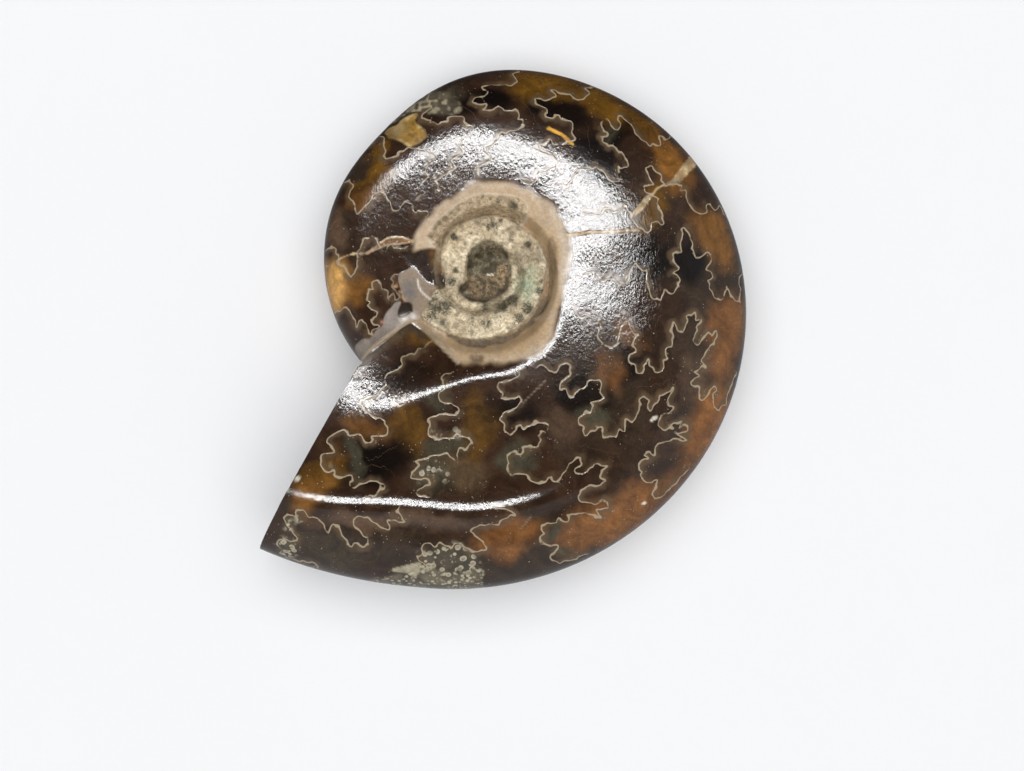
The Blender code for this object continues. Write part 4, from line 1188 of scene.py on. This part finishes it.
finish = bpy.data.materials.new("polished_calcite")
finish.use_nodes = True
tree = finish.node_tree
tree.nodes.clear()
in_mm = place_in_mm()
tint_colour = node("ShaderNodeAttribute", attribute_name="tint").outputs["Color"]
chalky, wall_share = mark("chalk"), mark("wall")
vein_share, pearl = mark("vein"), mark("pearl")
unpolished = maths("ADD", maths("ADD", chalky, wall_share), maths("MULTIPLY", pearl, 0.8))
unpolished = maths("MINIMUM", unpolished, 1.0)
clear = maths("SUBTRACT", 1.0, unpolished)

# Clouds and flecks in the calcite.
clouding = mix(step_between(mottle(1.6, 6, 0.6, 0.8), 0.30, 0.72), CLOUD_DARK, CLOUD_PALE)
colour = mix(product(clear, 0.75), tint_colour, clouding, "MULTIPLY")
grit = mix(step_between(mottle(0.22, 3, 0.7), 0.35, 0.75), GRIT_DARK, GRIT_PALE)
colour = mix(0.55, colour, grit, "MULTIPLY")

# Wear and mud in the chalky shell.
worn = mix(step_between(mottle(0.34, 6, 0.72, 0.6), 0.36, 0.64), CHALK_DARK, CHALK_PALE)
colour = mix(product(chalky, 0.85), colour, worn, "MULTIPLY")
mud = maths("MULTIPLY_ADD", mark("mud"), 0.20, mottle(0.26, 5, 0.72, 1.2))
mud = product(step_between(mud, 0.655, 0.715), chalky)
colour = mix(product(mud, 0.85), colour, MUD_COLOUR)

# The suture lines, with a brown border on their inner side and a few breaks.
signed, away = mark("suture"), mark("suture_away")
waver = maths("MULTIPLY_ADD", mottle(0.5, 3, 0.6), 0.12, maths("ABSOLUTE", signed))
waver = maths("SUBTRACT", waver, 0.06)
line = step_between(waver, LINE_WIDTH, LINE_WIDTH * 0.35)
breaks = step_between(mottle(1.1, 3, 0.6), 0.30, 0.44)
line = product(line, step_between(away, 0.34, 0.22), breaks, clear, mark("suture_wear"))
within = maths("MULTIPLY", signed, -1.0)
border = product(step_between(within, 0.02, 0.08), step_between(within, 0.60, 0.10))
border = product(border, clear, step_between(mottle(2.2), 0.35, 0.6))
colour = mix(product(border, 0.85), colour, LINE_BORDER_COLOUR)
colour = mix(product(line, 0.9), colour, LINE_COLOUR)

# Round grains in the clusters, and broken ones in the rubble.
grain_distance = cell_distance(GRAINS_PER_MM, 0.9)
grain = product(step_between(grain_distance, 0.50, 0.40), mark("grains"),
                step_between(mottle(0.8, 2), 0.40, 0.50))
grain_middle = product(step_between(grain_distance, 0.32, 0.20), grain)
rubble_grain = product(step_between(cell_distance(RUBBLE_PER_MM), 0.48, 0.34), mark("rubble"),
                       step_between(mottle(0.9, 3), 0.38, 0.54))
any_grain = maths("MAXIMUM", grain, rubble_grain)
colour = mix(product(any_grain, 0.85), colour, GRAIN_CREAM)
colour = mix(product(grain_middle, 0.55), colour, GRAIN_GROUND)

# White dust in the pores.
dust = product(step_between(cell_distance(DUST_PER_MM), 0.10, 0.05), clear,
               step_between(mottle(2.4, 3), 0.50, 0.62))
pore = product(step_between(cell_distance(PORES_PER_MM), 0.15, 0.08), clear,
               step_between(mottle(1.9, 3), 0.50, 0.60))
colour = mix(product(maths("MAXIMUM", dust, pore), 0.6), colour, DUST_COLOUR)

# Gloss, and the fine relief under it.
scratching = mottle(0.35, 6, 0.75, 1.5)
smoothest = FLANK_ROUGHNESS - SCRATCH_ROUGHNESS / 2
roughness = maths("MULTIPLY_ADD", scratching, SCRATCH_ROUGHNESS, smoothest)
roughness = maths("MULTIPLY_ADD", any_grain, 0.2, roughness)
roughness = maths("MULTIPLY_ADD", maths("MAXIMUM", vein_share, pearl), 0.25, roughness)
rough_wall = product(wall_share, WALL_ROUGHNESS - FLANK_ROUGHNESS)
rough_chalk = product(chalky, CHALK_ROUGHNESS - FLANK_ROUGHNESS)
roughness = maths("ADD", roughness, maths("ADD", rough_wall, rough_chalk))

crystal = node("ShaderNodeTexNoise", {
    "Vector": scaled(in_mm, (1.0, 0.5, 1.0)),  # brushed the length of +Y
    "Scale": CRYSTALS_PER_MM,
    "Detail": 3.0,
    "Roughness": 0.62,
}).outputs["Fac"]
crystal_height = product(crystal, maths("MULTIPLY_ADD", chalky, CHALK_RELIEF, CRYSTAL_RELIEF))
facets = product(mottle(0.9, 1, 0.5), FACET_RELIEF)
line_height = product(line, LINE_RELIEF)
grain_height = product(any_grain, GRAIN_RELIEF)
fine = maths("ADD", crystal_height, maths("ADD", facets, maths("ADD", line_height, grain_height)))
bumped = node("ShaderNodeBump", {"Height": fine, "Distance": MM, "Strength": 1.0}).outputs[0]

shader = node("ShaderNodeBsdfPrincipled", {
    "Base Color": colour,
    "Roughness": roughness,
    "Normal": bumped,
    "IOR": CALCITE_IOR,
    "Coat Weight": product(clear, COAT),
    "Coat Normal": bumped,
    "Coat Roughness": COAT_ROUGHNESS,
    "Coat IOR": COAT_IOR,
})
node("ShaderNodeOutputMaterial", {"Surface": shader.outputs[0]})
fossil_mesh.materials.append(finish)
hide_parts("ammonite")
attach(fossil, "root")

# ---------------------------------------------------------------------------------------------
# The table: a sheet of white board with a faint tooth, matt, larger than the view.
# ---------------------------------------------------------------------------------------------
TABLE_SIZE = 1.6
BOARD_WHITE = (0.90, 0.905, 0.915, 1)
BOARD_GREYER = (0.985, 0.985, 0.99, 1)
BOARD_TOOTH = 0.04

board = bpy.data.materials.new("white_board")
board.use_nodes = True
tree = board.node_tree
tree.nodes.clear()
tone = mix(mottle(14, 3), BOARD_GREYER, (1, 1, 1, 1))
tooth = node("ShaderNodeBump", {"Height": mottle(0.5, 3), "Distance": MM, "Strength": BOARD_TOOTH})
board_shader = node("ShaderNodeBsdfPrincipled", {
    "Base Color": mix(1.0, BOARD_WHITE, tone, "MULTIPLY"),
    "Roughness": 0.85,
    "Normal": tooth.outputs[0],
    "Specular IOR Level": 0.2,
})
node("ShaderNodeOutputMaterial", {"Surface": board_shader.outputs[0]})
half = TABLE_SIZE / 2
table_mesh = bpy.data.meshes.new("table")
table_mesh.from_pydata([(-half, -half, 0), (half, -half, 0), (half, half, 0), (-half, half, 0)],
                       [], [(0, 1, 2, 3)])
table_mesh.materials.append(board)
table = bpy.data.objects.new("table", table_mesh)
bpy.context.scene.collection.objects.link(table)
table.visible_glossy = False

# ---------------------------------------------------------------------------------------------
# The light. Pale walls on the near sides, and a dim ceiling and far side. A narrow, strong lamp
# high over the far edge draws the bright bands in the polish. Soft light from the cloth round it
# and an even fill from above light the rest.
# ---------------------------------------------------------------------------------------------
ROOM_LIGHT = (0.27, 0.275, 0.285, 1)
ROOM_DIM = (0.03, 0.03, 0.031, 1)
WALL_TOP = 0.80  # sine of the height to which the pale walls reach
LAMP_TILT = (1.6, 22.6)  # degrees towards +X and +Y
LAMP_ANGLES = (29.0, 3.0)  # how wide and how long it looks from the stone, in degrees
LAMP_RADIANCE = 30.0
LAMP_DISTANCE = 1.0
FILL_SIZE = 2.4
FILL_HEIGHT = 1.6
FILL_RADIANCE = 2.08
KEY_ANGLE = 32.0
KEY_RADIANCE = 0.85

world = bpy.data.worlds.new("room")
world.use_nodes = True
tree = world.node_tree
tree.nodes.clear()
direction = node("ShaderNodeSeparateXYZ", {0: node("ShaderNodeTexCoord").outputs["Generated"]})
nearness = maths("MULTIPLY", direction.outputs[1], -1.0)
facing = maths("MULTIPLY_ADD", direction.outputs[0], 0.25, nearness)
walls = mix(step_between(facing, -0.75, 0.2), ROOM_DIM, ROOM_LIGHT)
ceiling = step_between(direction.outputs[2], WALL_TOP - 0.06, WALL_TOP + 0.06)
sky = mix(ceiling, walls, ROOM_DIM)
background = node("ShaderNodeBackground", {"Color": sky, "Strength": 1.0})
node("ShaderNodeOutputWorld", {"Surface": background.outputs[0]})
bpy.context.scene.world = world


def hang_lamp(name, width, length, radiance, place):
    """An area lamp that faces the stone."""
    lamp = bpy.data.lights.new(name, "AREA")
    lamp.shape = "RECTANGLE"
    lamp.size = width
    lamp.size_y = length
    lamp.energy = radiance * math.pi * width * length
    hung = bpy.data.objects.new(name, lamp)
    hung.location = place
    hung.rotation_euler = Vector(place).to_track_quat("Z", "Y").to_euler()
    bpy.context.scene.collection.objects.link(hung)
    return hung


tilt = [math.tan(math.radians(angle)) for angle in LAMP_TILT]
sides = [2 * LAMP_DISTANCE * math.tan(math.radians(angle / 2)) for angle in LAMP_ANGLES]
lamp_place = Vector((*tilt, 1)).normalized() * LAMP_DISTANCE
lamp = hang_lamp("lamp", *sides, LAMP_RADIANCE, lamp_place)
lamp.visible_diffuse = False  # matt things are lit by the cloth round it, which is the key
key_size = 2 * LAMP_DISTANCE * math.tan(math.radians(KEY_ANGLE / 2))
key = hang_lamp("key", key_size, key_size, KEY_RADIANCE, lamp_place)
key.visible_glossy = False
fill = hang_lamp("fill", FILL_SIZE, FILL_SIZE, FILL_RADIANCE, Vector((0, 0, FILL_HEIGHT)))
fill.visible_glossy = False  # cloth over a whole ceiling: it lights the stone but doesn't show in it

# ---------------------------------------------------------------------------------------------
# The camera, straight above, a little towards the aperture from the fossil's middle.
# ---------------------------------------------------------------------------------------------
VIEW_WIDTH = 0.08192  # metres across the view at the height of the rim
RIM_HEIGHT = 0.0045
LENS, SENSOR = 50, 36
VIEW_OFFSET = (0.00047, -0.00479)

camera_data = bpy.data.cameras.new("camera")
camera_data.lens = LENS
camera_data.sensor_width = SENSOR
camera_data.clip_start = 0.001
camera = bpy.data.objects.new("camera", camera_data)
middle_of_box = (low + high) / 2
camera.location = (
    middle_of_box[0] + VIEW_OFFSET[0],
    middle_of_box[1] + VIEW_OFFSET[1],
    RIM_HEIGHT + VIEW_WIDTH * LENS / SENSOR,
)
bpy.context.scene.collection.objects.link(camera)
bpy.context.scene.camera = camera
bpy.context.scene.view_settings.view_transform = "Standard"
